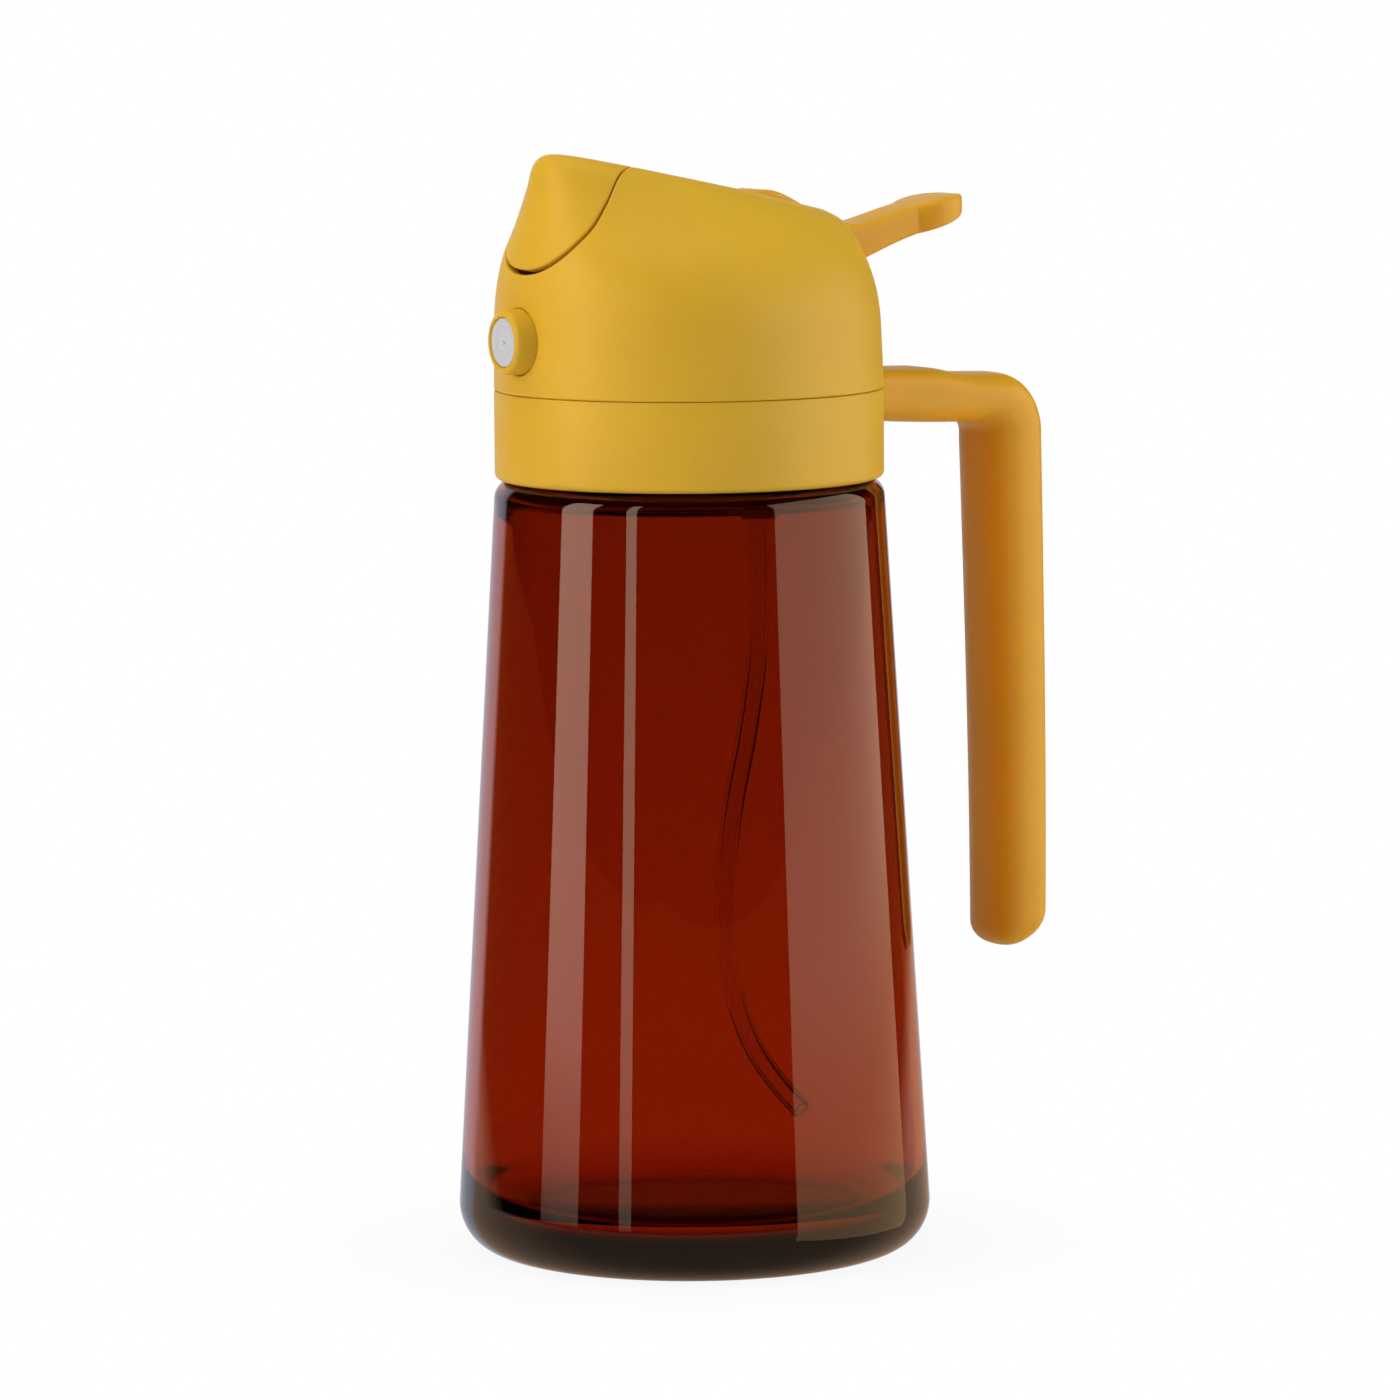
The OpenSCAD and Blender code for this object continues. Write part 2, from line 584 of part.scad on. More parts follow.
module nozzle_body() {
    color(natural) difference() {
        union() {
            along_x(face_x + 2.5, 0, nozzle_z, body_r, body_back - face_x - 2.5);
            along_y(feed_x, body_r - 1, nozzle_z, 1, feed_y - feed_bend - body_r + 1);
        }
        along_x(face_x, 0, nozzle_z, 2.6, core_x - face_x + 0.1);
        along_x(face_x, 0, nozzle_z, 1.7, ball_x - face_x);
        along_x(face_x, 0, nozzle_z, 0.9, ball_x - face_x + 1.2);
        along_y(feed_x, 0, nozzle_z, 0.6, 12);
    }
}

module swirl_core() {
    color(natural) difference() {
        along_x(face_x + 2.5, 0, nozzle_z, 2.55, core_x - face_x - 2.5);
        for (q = [0 : 120 : 240]) translate([0, 0, nozzle_z]) rotate([q, 0, 0]) translate([face_x, 0.6, -0.35]) cube([20, 4, 0.7]);
    }
}

module outlet_ball() color(steel) translate([ball_x - sqrt(1.3 * 1.3 - 0.9 * 0.9), 0, nozzle_z]) sphere(r = 1.3);

// ---------------------------------------------------------------- handle

// section of the handle at the middle c, turned by q (0 = across the arm, 90 = across the grip)
function handle_ring(c, q, d, w, e) = [for (j = [0 : 27]) let(p = 360 * j / 28, f = squircle(p, e), u = d / 2 * f * cos(p))
    [c[0] + u * sin(q), -w / 2 * f * sin(p), c[1] + u * cos(q)]];

// section between an inner and an outer point of the handle's side view
function handle_span(o, i, w, e) = handle_ring((o + i) / 2, atan2(o[0] - i[0], o[1] - i[1]), norm(o - i), w, e);

module handle() {
    start_x = head_r - 1.2;
    in_x = grip_x - (grip_lean + grip_d) / 2;
    out_x = in_x + grip_d;
    low = seam_z - 6.35;
    end_low = low - arm_drop;
    arm_l = in_x - elbow_in - start_x;
    grip_top = end_low - elbow_in - 1.5;
    end_d = grip_d - grip_taper_d;
    end_w = grip_w - grip_taper_w;
    // centres of the two roundings of the lower end
    end_in = [grip_x + (grip_lean - end_d) / 2 + end_in_r, grip_end_z + end_in_r];
    end_step = end_d - end_in_r - end_out_r;
    end_out = end_in + [end_step, (end_step * sin(grip_end_tilt) + end_out_r - end_in_r) / cos(grip_end_tilt)];
    rings = concat(
        // the arm has a flat top that ends in a soft step before the elbow
        [for (t = [0, 0.4, 0.78, 0.97]) let(step = t > 0.9, h = step ? elbow_h + 0.15 : arm_h + arm_swell * t)
            handle_ring([start_x + arm_l * t, low - arm_drop * t + h / 2], 0, h, arm_w + (grip_w - arm_w) * t / 2, step ? 3.2 : 4.2)],
        [for (a = [0 : 11.25 : 90]) let(t = a / 90, dir = [sin(a) - 1, cos(a) - 1])
            handle_span([out_x + elbow_out * dir[0], end_low + elbow_h + elbow_down * dir[1]], [in_x, end_low] + elbow_in * dir,
                arm_w + (grip_w - arm_w) * (1 + t) / 2, 2.8 - 0.3 * t)],
        [for (t = [0 : 0.2 : 0.8]) handle_ring([grip_x + grip_lean * (sin(90 * t) - 0.5), grip_top + (end_out[1] - grip_top) * t], 90,
            grip_d - grip_taper_d * t, grip_w - grip_taper_w * t, 2.5)],
        [for (u = [0 : 0.2 : 1]) let(p = -(90 - grip_end_tilt) * u, q = 180 + (90 + grip_end_tilt) * u)
            handle_span(end_out + end_out_r * [cos(p), sin(p)], end_in + end_in_r * [cos(q), sin(q)],
                end_w - (end_in_r + end_out_r) * (1 - cos(90 * u)), 2.5)]);
    color(lever_yellow) {
        // end of the arm follows the collar
        difference() {
            skin(rings);
            translate([0, 0, seam_z - 20]) cylinder(r = head_r + 0.05, h = 40);
        }
        // tongue and cross bar that hold the handle in the head
        translate([skirt_in - 1.6, -tongue_w / 2, deck_z + 0.7]) cube([collar_t + 3.2, tongue_w, seam_rise + 0.4]);
        intersection() {
            translate([skirt_in - 1.9, -9, deck_z + 0.7]) cube([1.7, 18, seam_rise - 1]);
            cylinder(r = skirt_in - 0.15, h = 200);
        }
    }
}

// ---------------------------------------------------------------- parts

glass_bottle();
neck_gasket();
collar();
inner_deck();
head_shell();
handle();
pour_channel();
spout_flap();
flap_pin();
thumb_lever();
lever_pin();
pump_body();
pump_washer();
pump_piston();
piston_seal();
return_spring();
inlet_valve_seat();
inlet_ball();
dip_tube();
feed_tube();
nozzle_body();
nozzle_bezel();
nozzle_insert();
swirl_core();
outlet_ball();
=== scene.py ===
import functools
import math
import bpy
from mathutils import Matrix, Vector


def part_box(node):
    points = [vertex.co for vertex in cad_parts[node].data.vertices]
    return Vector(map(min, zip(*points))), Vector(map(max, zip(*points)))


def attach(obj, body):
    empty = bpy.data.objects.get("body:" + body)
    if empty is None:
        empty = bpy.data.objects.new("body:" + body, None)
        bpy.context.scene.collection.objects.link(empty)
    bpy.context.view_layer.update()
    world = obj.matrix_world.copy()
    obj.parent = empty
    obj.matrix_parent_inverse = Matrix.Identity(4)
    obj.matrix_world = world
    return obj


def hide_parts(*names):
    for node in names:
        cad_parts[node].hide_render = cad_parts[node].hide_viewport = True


bl_info = {
    "name": "Oil Sprayer Bottle",
    "version": (1, 0, 0),
    "blender": (4, 5, 0),
    "location": "View3D > Sidebar > Oil Bottle",
    "description": "Builds the amber glass bottle, its yellow spray and pour head, and a studio stage",
    "category": "Object",
}

import bmesh
import bpy
import numpy as np
from mathutils import Matrix, Vector

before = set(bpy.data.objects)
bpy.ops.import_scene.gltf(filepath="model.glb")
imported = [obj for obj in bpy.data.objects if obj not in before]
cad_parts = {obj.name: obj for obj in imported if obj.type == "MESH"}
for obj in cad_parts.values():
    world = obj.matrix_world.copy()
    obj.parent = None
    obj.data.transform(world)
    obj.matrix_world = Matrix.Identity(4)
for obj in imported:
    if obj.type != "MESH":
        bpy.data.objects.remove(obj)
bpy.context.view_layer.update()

MM = 0.001
SEAM_Z = 146.0          # joint between collar and head shell, mm
HEAD_R = 32.75          # radius of the collar and of the foot of the shell
WALL = 1.8              # wall of the shell and the flap
BEAK_H = 39.8           # beak tip above the seam
NOZZLE_Z = SEAM_Z + 9   # axis of the spray nozzle
PUMP_X = 13.6           # axis of the pump and the dip tube
LEVER_PIVOT = (-1.012, 171.01)
LEVER_W = 9.6           # width of the lever's arm
FLAP_PIVOT = (-14.0, SEAM_Z + BEAK_H - 5.4)
FLAP_W = 12.3           # half width of the flap where its sides run up
FLAP_TOP = 30.0         # height above the seam where its rounded lower end begins
FLAP_DROP = 9.0         # length of that rounded end
FLAP_X = -11.3          # its rear edge on the ridge
FLAP_BOW = 0.078        # bow of the rear edge, per mm
FLAP_GAP = 0.45         # gap round the flap
FLAP_GAP_FRONT = 0.85   # gap under the flap's lip
MIN_WELD = 0.0005       # doubles closer than this are welded, mm


# ------------------------------------------------------------------ settings

class BottleSizes(bpy.types.PropertyGroup):
    """Sizes that a user would change"""
    glass_radius: bpy.props.FloatProperty(
        name="Glass radius", description="Largest outer radius of the glass", unit="LENGTH", precision=4,
        default=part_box("glass_bottle")[1][0], min=0.03, max=0.05)
    glass_wall: bpy.props.FloatProperty(
        name="Glass wall", description="Thickness of the glass wall", unit="LENGTH", precision=4,
        default=0.0022, min=0.0015, max=0.003)
    rim_height: bpy.props.FloatProperty(
        name="Rim height", description="Height of the glass rim under the seal", unit="LENGTH", precision=4,
        default=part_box("glass_bottle")[1][2], min=0.12, max=0.15)
    edge_round: bpy.props.FloatProperty(
        name="Edge rounding", description="Radius of the moulded edges of the head", unit="LENGTH",
        precision=5,
        default=0.00035, min=0.0001, max=0.0008)
    spring_turns: bpy.props.FloatProperty(
        name="Spring turns", description="Turns of the pump's return spring", default=5.0, min=3.0, max=7.0)


class BottleColours(bpy.types.PropertyGroup):
    """Colours that a user would change"""
    plastic: bpy.props.FloatVectorProperty(
        name="Head plastic", description="Colour of the collar, shell and flap", subtype="COLOR", size=3,
        min=0, max=1, default=(0.70, 0.415, 0.021))
    # partly the lever's own colour, partly painted bounce light: it is more orange than the head to stand in
    # for light thrown by the amber glass
    lever_plastic: bpy.props.FloatVectorProperty(
        name="Lever and handle plastic", description="Colour of the lever and the handle", subtype="COLOR",
        size=3,
        min=0, max=1, default=(0.73, 0.378, 0.014))
    glass: bpy.props.FloatVectorProperty(
        name="Glass", description="Tint of light that crosses the amber glass", subtype="COLOR", size=3,
        min=0, max=1, default=(0.832, 0.470, 0.03))
    white: bpy.props.FloatVectorProperty(
        name="Nozzle disc", description="Colour of the nozzle insert", subtype="COLOR", size=3,
        min=0, max=1, default=(0.58, 0.605, 0.69))


def sizes():
    return bpy.context.scene.oil_bottle_sizes


def colours():
    return bpy.context.scene.oil_bottle_colours


# ------------------------------------------------------------------ mesh helpers

def linked(name, data):
    """A new object that stands at the origin of the scene."""
    obj = bpy.data.objects.new(name, data)
    bpy.context.scene.collection.objects.link(obj)
    return obj


def make_piece(name, shape, finish, body, node, sharp, weld=MIN_WELD):
    """A finished mesh object, smooth with its hard edges kept, that rides on its body in place of a solid."""
    verts, faces = shape
    mesh = bpy.data.meshes.new(name)
    points = [tuple(v) for v in np.asarray(verts, float) * MM]
    mesh.from_pydata(points, [], [tuple(int(i) for i in f) for f in faces])
    obj = linked(name, mesh)
    tidy_mesh(obj, sharp, weld)
    finish_piece(obj, finishes()[finish], body, node)


def tidy_mesh(obj, sharp, weld):
    """Welds doubles, points the faces outwards and marks the hard edges."""
    bm = bmesh.new()
    bm.from_mesh(obj.data)
    bmesh.ops.remove_doubles(bm, verts=bm.verts, dist=weld * MM)
    bmesh.ops.dissolve_degenerate(bm, edges=bm.edges, dist=1e-8)
    bmesh.ops.recalc_face_normals(bm, faces=bm.faces)
    limit = math.radians(sharp)
    for face in bm.faces:
        face.smooth = True
    for edge in bm.edges:
        if len(edge.link_faces) == 2:
            edge.smooth = edge.calc_face_angle(0.0) < limit
    bm.to_mesh(obj.data)
    bm.free()


def finish_piece(obj, material, body, node):
    obj.data.materials.clear()
    obj.data.materials.append(material)
    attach(obj, body)
    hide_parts(node)


def grid_faces(rows, columns, offset=0, flip=False):
    """Quads between rows of a closed ring grid."""
    faces = []
    for i in range(rows - 1):
        low, high = offset + i * columns, offset + (i + 1) * columns
        for j in range(columns):
            k = (j + 1) % columns
            quad = (low + j, low + k, high + k, high + j)
            faces.append(quad[::-1] if flip else quad)
    return faces


def capped(rows, columns):
    """Faces of a ring grid with both ends closed by a flat face."""
    last = (rows - 1) * columns
    return grid_faces(rows, columns) + [tuple(range(columns)), tuple(range(last, last + columns))]


def smoothed(rows, reach, width):
    """Rows run through a bell-shaped filter, with their ends kept in place."""
    kernel = np.exp(-0.5 * (np.arange(-reach, reach + 1) / width) ** 2)
    kernel /= kernel.sum()
    padded = np.vstack([2 * rows[0] - rows[reach:0:-1], rows, 2 * rows[-1] - rows[-2:-reach - 2:-1]])
    return np.stack([np.convolve(padded[:, k], kernel, "valid") for k in range(rows.shape[1])], 1)


def revolve(profile, segments):
    """Closed solid of revolution about Z from a closed profile of (radius, height) in mm."""
    profile = np.asarray(profile, float)
    turn = np.arange(segments) * 2 * np.pi / segments
    rings = [np.stack([r * np.cos(turn), r * np.sin(turn), np.full(segments, z)], 1) for r, z in profile]
    verts = np.concatenate(rings)
    last = (len(profile) - 1) * segments
    faces = grid_faces(len(profile), segments)
    faces += [(last + j, last + (j + 1) % segments, (j + 1) % segments, j) for j in range(segments)]
    return verts, faces


def arc(cx, cz, r, a0, a1, n, height=None):
    """Points (radius, height) of an arc, angles in degrees. With its own height it is part of an ellipse."""
    up = r if height is None else height
    return [(cx + r * math.cos(a), cz + up * math.sin(a)) for a in np.radians(np.linspace(a0, a1, n))]


def line_points(start, end):
    """Points of a straight line that leaves out its start."""
    (r0, z0), (r1, z1) = start, end
    return [(r0 + (r1 - r0) * t, z0 + (z1 - z0) * t) for t in np.linspace(0.02, 1, 30)]


def cubic(rows, t):
    """Natural cubic spline through the rows, evaluated at t in 0..1."""
    rows = np.asarray(rows, float)
    n = len(rows) - 1
    a = np.zeros((n + 1, n + 1))
    rhs = np.zeros_like(rows)
    a[0, 0] = a[n, n] = 1
    for i in range(1, n):
        a[i, i - 1:i + 2] = (1, 4, 1)
        rhs[i] = 6 * (rows[i - 1] - 2 * rows[i] + rows[i + 1])
    m = np.linalg.solve(a, rhs)
    s = np.clip(np.asarray(t, float) * n, 0, n - 1e-9)
    i = np.floor(s).astype(int)
    u = (s - i)[..., None]
    return (m[i] * (1 - u) ** 3 / 6 + m[i + 1] * u ** 3 / 6
            + (rows[i] - m[i] / 6) * (1 - u) + (rows[i + 1] - m[i + 1] / 6) * u)


def join_parts(parts):
    """One vertex list and one face list from several closed parts."""
    verts, faces, n = [], [], 0
    for v, f in parts:
        verts.append(np.asarray(v, float))
        faces += [tuple(i + n for i in face) for face in f]
        n += len(v)
    return np.concatenate(verts), faces


def round_bar(axis_point, half, radius, edge, segments=48):
    """A round bar along Y with rounded ends, centred on axis_point (x, z)."""
    x, z = axis_point
    end = arc(half - edge, radius - edge, edge, 0, 90, 5)
    profile = [(-h, r) for h, r in end] + end[::-1]
    turn = np.arange(segments) * 2 * np.pi / segments
    rings = [np.stack([x + r * np.cos(turn), np.full(segments, y), z + r * np.sin(turn)], 1)
             for y, r in profile]
    return np.concatenate(rings), capped(len(rings), segments)


# ------------------------------------------------------------------ the head's surface

def head_rows():
    r, s, b = HEAD_R, SEAM_Z, SEAM_Z + BEAK_H
    # front x, front z, rear x, rear z, half width, exponent, share of the wall taken off the top
    return [
        [-r, s, r, s, r, 2.00, 0.0],
        [-r + 0.1, s + 7, r - 0.25, s + 7, r - 0.25, 2.00, 0.0],
        [-r + 0.35, s + 15, r - 0.85, s + 14.5, r - 1.25, 2.05, 0.1],
        [-r + 1.1, b - 17.6, r - 2.15, s + 21, r - 5.25, 2.10, 0.3],
        [-r + 2.5, b - 11.6, r - 4.4, s + 26.6, 21.0, 2.15, 0.5],
        [-r + 3.8, b - 5.6, r - 7.5, s + 29.0, 15.5, 2.20, 0.7],
        [-r + 4.5, b - 1.6, r - 10.8, s + 29.9, 12.0, 2.20, 0.9],
        [-r + 6.7, b, r - 14.3, s + 30.8, 9.0, 2.20, 1.0],
        [-r + 11.4, b - 0.5, r - 19.8, s + 31.7, 5.5, 2.10, 1.0],
        [-r + 18.8, b - 2.0, r - 27.8, s + 32.9, 1.5, 2.00, 1.0],
    ]


def catmull(rows, t):
    """The same smooth curve through the rows as the solid model uses."""
    p = np.asarray(rows, float)
    n = len(p) - 1
    s = np.clip(np.asarray(t, float) * n, 0, n - 1e-6)
    i = np.floor(s).astype(int)
    u = (s - i)[..., None]
    ext = np.vstack([2 * p[0] - p[1], p, 2 * p[-1] - p[-2]])
    a, b, c, d = (ext[i + k] for k in range(4))
    straight, bend, twist = c - a, 2 * a - 5 * b + 4 * c - d, 3 * b - a - 3 * c + d
    return 0.5 * (2 * b + straight * u + bend * u ** 2 + twist * u ** 3)


@functools.cache
def head_table():
    """Rows of the head at fine steps, smoothed a little so that the light runs evenly over them."""
    smooth = smoothed(catmull(head_rows(), np.linspace(0, 1, 541)), 24, 9.0)
    last = smooth[-1].copy()
    # closing rows: the crest narrows to a line
    for w in (0.85, 0.6, 0.3, 0.0):
        row = last.copy()
        row[4] = max(1e-4, last[4] * w)
        rise = 0.22 * (1 - w * w) * 0.2
        row[[1, 3]] += rise
        row[0] += 0.6 * (1 - w)
        row[2] -= 0.6 * (1 - w)
        smooth = np.vstack([smooth, row])
    return smooth


def head_point(q, v, wall=0.0):
    """Point of the head at angle q (radians) and height parameter v in 0..1, taken in by the wall."""
    table = head_table()
    s = np.clip(np.asarray(v, float), 0, 1) * (len(table) - 1)
    i = np.minimum(np.floor(s).astype(int), len(table) - 2)
    u = (s - i)[..., None]
    row = table[i] * (1 - u) + table[i + 1] * u
    k = row[..., 6] * wall
    cut = np.minimum(wall, row[..., 4] * 0.6)
    xf, xr = row[..., 0] + wall, row[..., 2] - wall
    c, a = (xf + xr) / 2, (xr - xf) / 2
    e = row[..., 5]
    f = (np.abs(np.cos(q)) ** e + np.abs(np.sin(q)) ** e) ** (-1 / e)
    x = c + a * f * np.cos(q)
    y = (row[..., 4] - cut) * f * np.sin(q)
    z = row[..., 1] - k + (row[..., 3] - row[..., 1]) * (x - xf) / np.maximum(xr - xf, 1e-6)
    return np.stack([x, y, z], -1)


def surface_distance(field, q, v):
    """A field over space, turned into millimetres along the head's surface."""
    dq, dv = 1e-3, 5e-4
    vv = np.clip(v, dv, 1 - dv)
    p0 = head_point(q, vv)
    pq = (head_point(q + dq, vv) - head_point(q - dq, vv)) / (2 * dq)
    pv = (head_point(q, vv + dv) - head_point(q, vv - dv)) / (2 * dv)
    fq = (field(p0 + pq * dq) - field(p0 - pq * dq)) / (2 * dq)
    fv = (field(p0 + pv * dv) - field(p0 - pv * dv)) / (2 * dv)
    g11, g22, g12 = (pq * pq).sum(-1), (pv * pv).sum(-1), (pq * pv).sum(-1)
    det = np.maximum(g11 * g22 - g12 * g12, 1e-9)
    slope = np.sqrt(np.maximum((g22 * fq * fq - 2 * g12 * fq * fv + g11 * fv * fv) / det, 1e-12))
    return field(head_point(q, v)) / np.maximum(slope, 0.02)


def soft_min(a, b, k):
    h = np.clip(0.5 + 0.5 * (b - a) / k, 0, 1)
    return b * (1 - h) + a * h - k * h * (1 - h)


def flap_front_field(grow, drop):
    """Positive inside the flap's outline seen from the front."""
    def field(p):
        y = np.abs(p[..., 1]) / (FLAP_W + grow)
        z = np.maximum(0, (SEAM_Z + FLAP_TOP - p[..., 2]) / (FLAP_DROP + drop))
        return 1 - (y ** 2.2 + z ** 2.2) ** (1 / 2.2)
    return field


def flap_plan_field(grow):
    """Positive in front of the flap's edge over the ridge."""
    return lambda p: FLAP_X - FLAP_BOW * p[..., 1] ** 2 + grow - p[..., 0]


def flap_area(q, v, grow, drop):
    """Positive where the flap is, its outline grown by a gap."""
    front = surface_distance(flap_front_field(grow, drop), q, v)
    plan = surface_distance(flap_plan_field(grow), q, v)
    inside = soft_min(front, plan, 1.6)
    return np.where(head_point(q, v)[..., 2] < SEAM_Z + 15, -9.0, inside)


def slot_area(q, v):
    """Positive where the slot of the lever is."""
    p = head_point(q, v)
    side = surface_distance(lambda p: 5.4 - np.abs(p[..., 1]), q, v)
    front = surface_distance(lambda p: p[..., 0] - 9.8, q, v)
    foot = surface_distance(lambda p: p[..., 2] - SEAM_Z - 9.5, q, v)
    return np.where(p[..., 0] < 2, -9.0, soft_min(soft_min(side, front, 1.4), foot, 1.4))


def nozzle_area(q, v):
    """Positive where the hole for the nozzle is."""
    p = head_point(q, v)
    return np.where(p[..., 0] > 0, -9.0, 5.6 - np.hypot(p[..., 1], p[..., 2] - NOZZLE_Z))


def slice_level(qv, tris, values, level, area):
    """Cuts the triangles along the line where the values cross a level. Returns the finer mesh."""
    values = np.where(np.abs(values - level) < 1e-6, level + 1e-6, values)
    above = values[tris] > level
    count = above.sum(1)
    keep, cutting = tris[(count == 0) | (count == 3)], tris[(count == 1) | (count == 2)]
    if not len(cutting):
        return qv, tris, values
    flags = values[cutting] > level
    lone = np.where(flags.sum(1) == 1, flags.argmax(1), (~flags).argmax(1))
    idx = np.arange(len(cutting))
    a, b, c = cutting[idx, lone], cutting[idx, (lone + 1) % 3], cutting[idx, (lone + 2) % 3]
    edges = np.sort(np.vstack([np.stack([a, b], 1), np.stack([a, c], 1)]), 1)
    unique, inverse = np.unique(edges, axis=0, return_inverse=True)
    inverse = inverse.reshape(-1)
    lo, hi = np.zeros(len(unique)), np.ones(len(unique))
    p0, p1 = qv[unique[:, 0]], qv[unique[:, 1]]
    v0, v1 = values[unique[:, 0]], values[unique[:, 1]]
    t = (level - v0) / (v1 - v0)
    for _ in range(6):
        mid = p0 + (p1 - p0) * t[:, None]
        got = area(mid[:, 0], mid[:, 1])
        low_side = (got > level) == (v0 > level)
        lo, hi = np.where(low_side, t, lo), np.where(low_side, hi, t)
        t = (lo + hi) / 2
    new = p0 + (p1 - p0) * t[:, None]
    n = len(qv)
    ab, ac = n + inverse[:len(a)], n + inverse[len(a):]
    extra = np.vstack([np.stack([a, ab, ac], 1), np.stack([ab, b, c], 1), np.stack([ab, c, ac], 1)])
    return np.vstack([qv, new]), np.vstack([keep, extra]), np.concatenate([values, np.full(len(new), level)])


def moulded_skin(area, columns, rows, round_r, v_low=0.0, q_range=None):
    """A closed moulded wall over the part of the head where the area is negative, its outer edges rounded."""
    closed = q_range is None
    qs = np.arange(columns) * 2 * np.pi / columns if closed else np.linspace(*q_range, columns)
    vs = v_low + (1 - v_low) * np.linspace(0, 1, rows)
    qv = np.array([(q, v) for v in vs for q in qs])
    tris = []
    last = columns if closed else columns - 1
    for i in range(rows - 1):
        low, high = i * columns, (i + 1) * columns
        for j in range(last):
            k = (j + 1) % columns
            a, b, c, d = low + j, low + k, high + k, high + j
            tris += [(a, b, c), (a, c, d)] if (i + j) % 2 else [(a, b, d), (b, c, d)]
    tris = np.array(tris)
    if closed:
        # the seam column gets its own copy at 2 pi while the mesh is cut
        seam = {}
        fixed = tris.copy()
        for n, tri in enumerate(tris):
            qq = qv[tri, 0]
            if qq.max() - qq.min() > np.pi:
                for m in np.flatnonzero(qq < np.pi):
                    fixed[n, m] = seam.setdefault(int(tri[m]), len(qv) + len(seam))
        extra = np.array([(qv[k, 0] + 2 * np.pi, qv[k, 1]) for k in seam])
        qv, tris = np.vstack([qv, extra]), fixed
    values = area(qv[:, 0], qv[:, 1])
    for level in [0.0] + [-round_r * f for f in (0.06, 0.2, 0.42, 0.7, 1.0)]:
        qv, tris, values = slice_level(qv, tris, values, level, area)
    tris = tris[values[tris].max(1) <= 1e-5]
    used, tris = np.unique(tris, return_inverse=True)
    tris = tris.reshape(-1, 3)
    qv, values = qv[used], values[used]
    outer = head_point(qv[:, 0], qv[:, 1])
    inner = head_point(qv[:, 0], qv[:, 1], WALL)
    inward = inner - outer
    inward /= np.maximum(np.linalg.norm(inward, axis=1, keepdims=True), 1e-9)
    e = np.clip(round_r + values, 0, round_r)
    depth = round_r - np.sqrt(np.maximum(round_r ** 2 - e ** 2, 0))
    outer = outer + inward * depth[:, None]
    n = len(qv)
    verts = np.vstack([outer, inner])
    faces = [tuple(t) for t in tris] + [tuple(t[::-1] + n) for t in tris]
    edge_count = {}
    for t in tris:
        for m in range(3):
            e0, e1 = int(t[m]), int(t[(m + 1) % 3])
            key = (min(e0, e1), max(e0, e1))
            edge_count.setdefault(key, []).append((e0, e1))
    on_edge = values > -1e-4
    for key, uses in edge_count.items():
        if len(uses) == 1 and on_edge[key[0]] and on_edge[key[1]]:
            e0, e1 = uses[0]
            faces.append((e1, e0, e0 + n, e1 + n))
    return verts, faces


# ------------------------------------------------------------------ materials

def new_material(name):
    """The empty node tree of a new material, and its output."""
    material = bpy.data.materials.new(name)
    material.use_nodes = True
    tree = material.node_tree
    tree.nodes.clear()
    return tree, tree.nodes.new("ShaderNodeOutputMaterial")


def put(tree, node, key, value):
    """Links a socket to an input, or sets the input's own value."""
    if isinstance(value, bpy.types.NodeSocket):
        tree.links.new(value, node.inputs[key])
    else:
        node.inputs[key].default_value = value


def add(tree, kind, *ordered, **named):
    """A node with its settings and inputs by name, and its first inputs in their order."""
    node = tree.nodes.new(kind)
    for key, value in named.items():
        label = key.replace("_", " ")
        if label in node.inputs:
            put(tree, node, label, value)
        else:
            setattr(node, key, value)
    for key, value in enumerate(ordered):
        put(tree, node, key, value)
    return node


def object_coords(tree, scale=(1, 1, 1)):
    coords = add(tree, "ShaderNodeTexCoord")
    return add(tree, "ShaderNodeMapping", coords.outputs["Object"], Scale=scale).outputs["Vector"]


def height_of(tree, vector):
    return add(tree, "ShaderNodeSeparateXYZ", vector).outputs["Z"]


def noise(tree, vector, scale, detail=3.0, rough=0.5):
    return add(tree, "ShaderNodeTexNoise", vector, Scale=scale, Detail=detail, Roughness=rough).outputs["Fac"]


def ramp(tree, value, low, high, out_low, out_high):
    return add(tree, "ShaderNodeMapRange", value, low, high, out_low, out_high).outputs["Result"]


def mix_colour(tree, fac, a, b):
    """A blend of two colours. The first may be a socket."""
    node = add(tree, "ShaderNodeMix", data_type="RGBA", Factor=fac)
    put(tree, node, 6, a if isinstance(a, bpy.types.NodeSocket) else (*a, 1))
    put(tree, node, 7, (*b, 1))
    return node.outputs[2]


def bump(tree, height, strength, distance, **below):
    node = add(tree, "ShaderNodeBump", Strength=strength, Distance=distance, Height=height, **below)
    return node.outputs["Normal"]


def principled(tree, output, **values):
    shader = add(tree, "ShaderNodeBsdfPrincipled", **values)
    tree.links.new(shader.outputs["BSDF"], output.inputs["Surface"])


def moulded_plastic(name, colour, roughness, grain=1.0, glow=0.0):
    """Satin moulded plastic: a faint cloud in the colour, fine mould grain and a soft flow unevenness."""
    tree, output = new_material(name)
    where = object_coords(tree)
    cloud = ramp(tree, noise(tree, where, 38.0, 4.0), 0.3, 0.7, 0, 1)
    shade = mix_colour(tree, cloud, [c * 0.965 for c in colour], [min(1, c * 1.03) for c in colour])
    satin = ramp(tree, noise(tree, where, 120.0), 0.3, 0.7, roughness - 0.035, roughness + 0.035)
    flow = bump(tree, noise(tree, where, 55.0, 2.0), 0.05, 0.0006)
    pores = bump(tree, noise(tree, where, 5200.0, 2.0, 0.6), 0.10 * grain, 0.00003, Normal=flow)
    principled(tree, output, Base_Color=shade, Roughness=satin, Normal=pores, IOR=1.45,
               Subsurface_Weight=glow, Subsurface_Scale=0.004, Subsurface_Radius=(1.0, 0.35, 0.05))


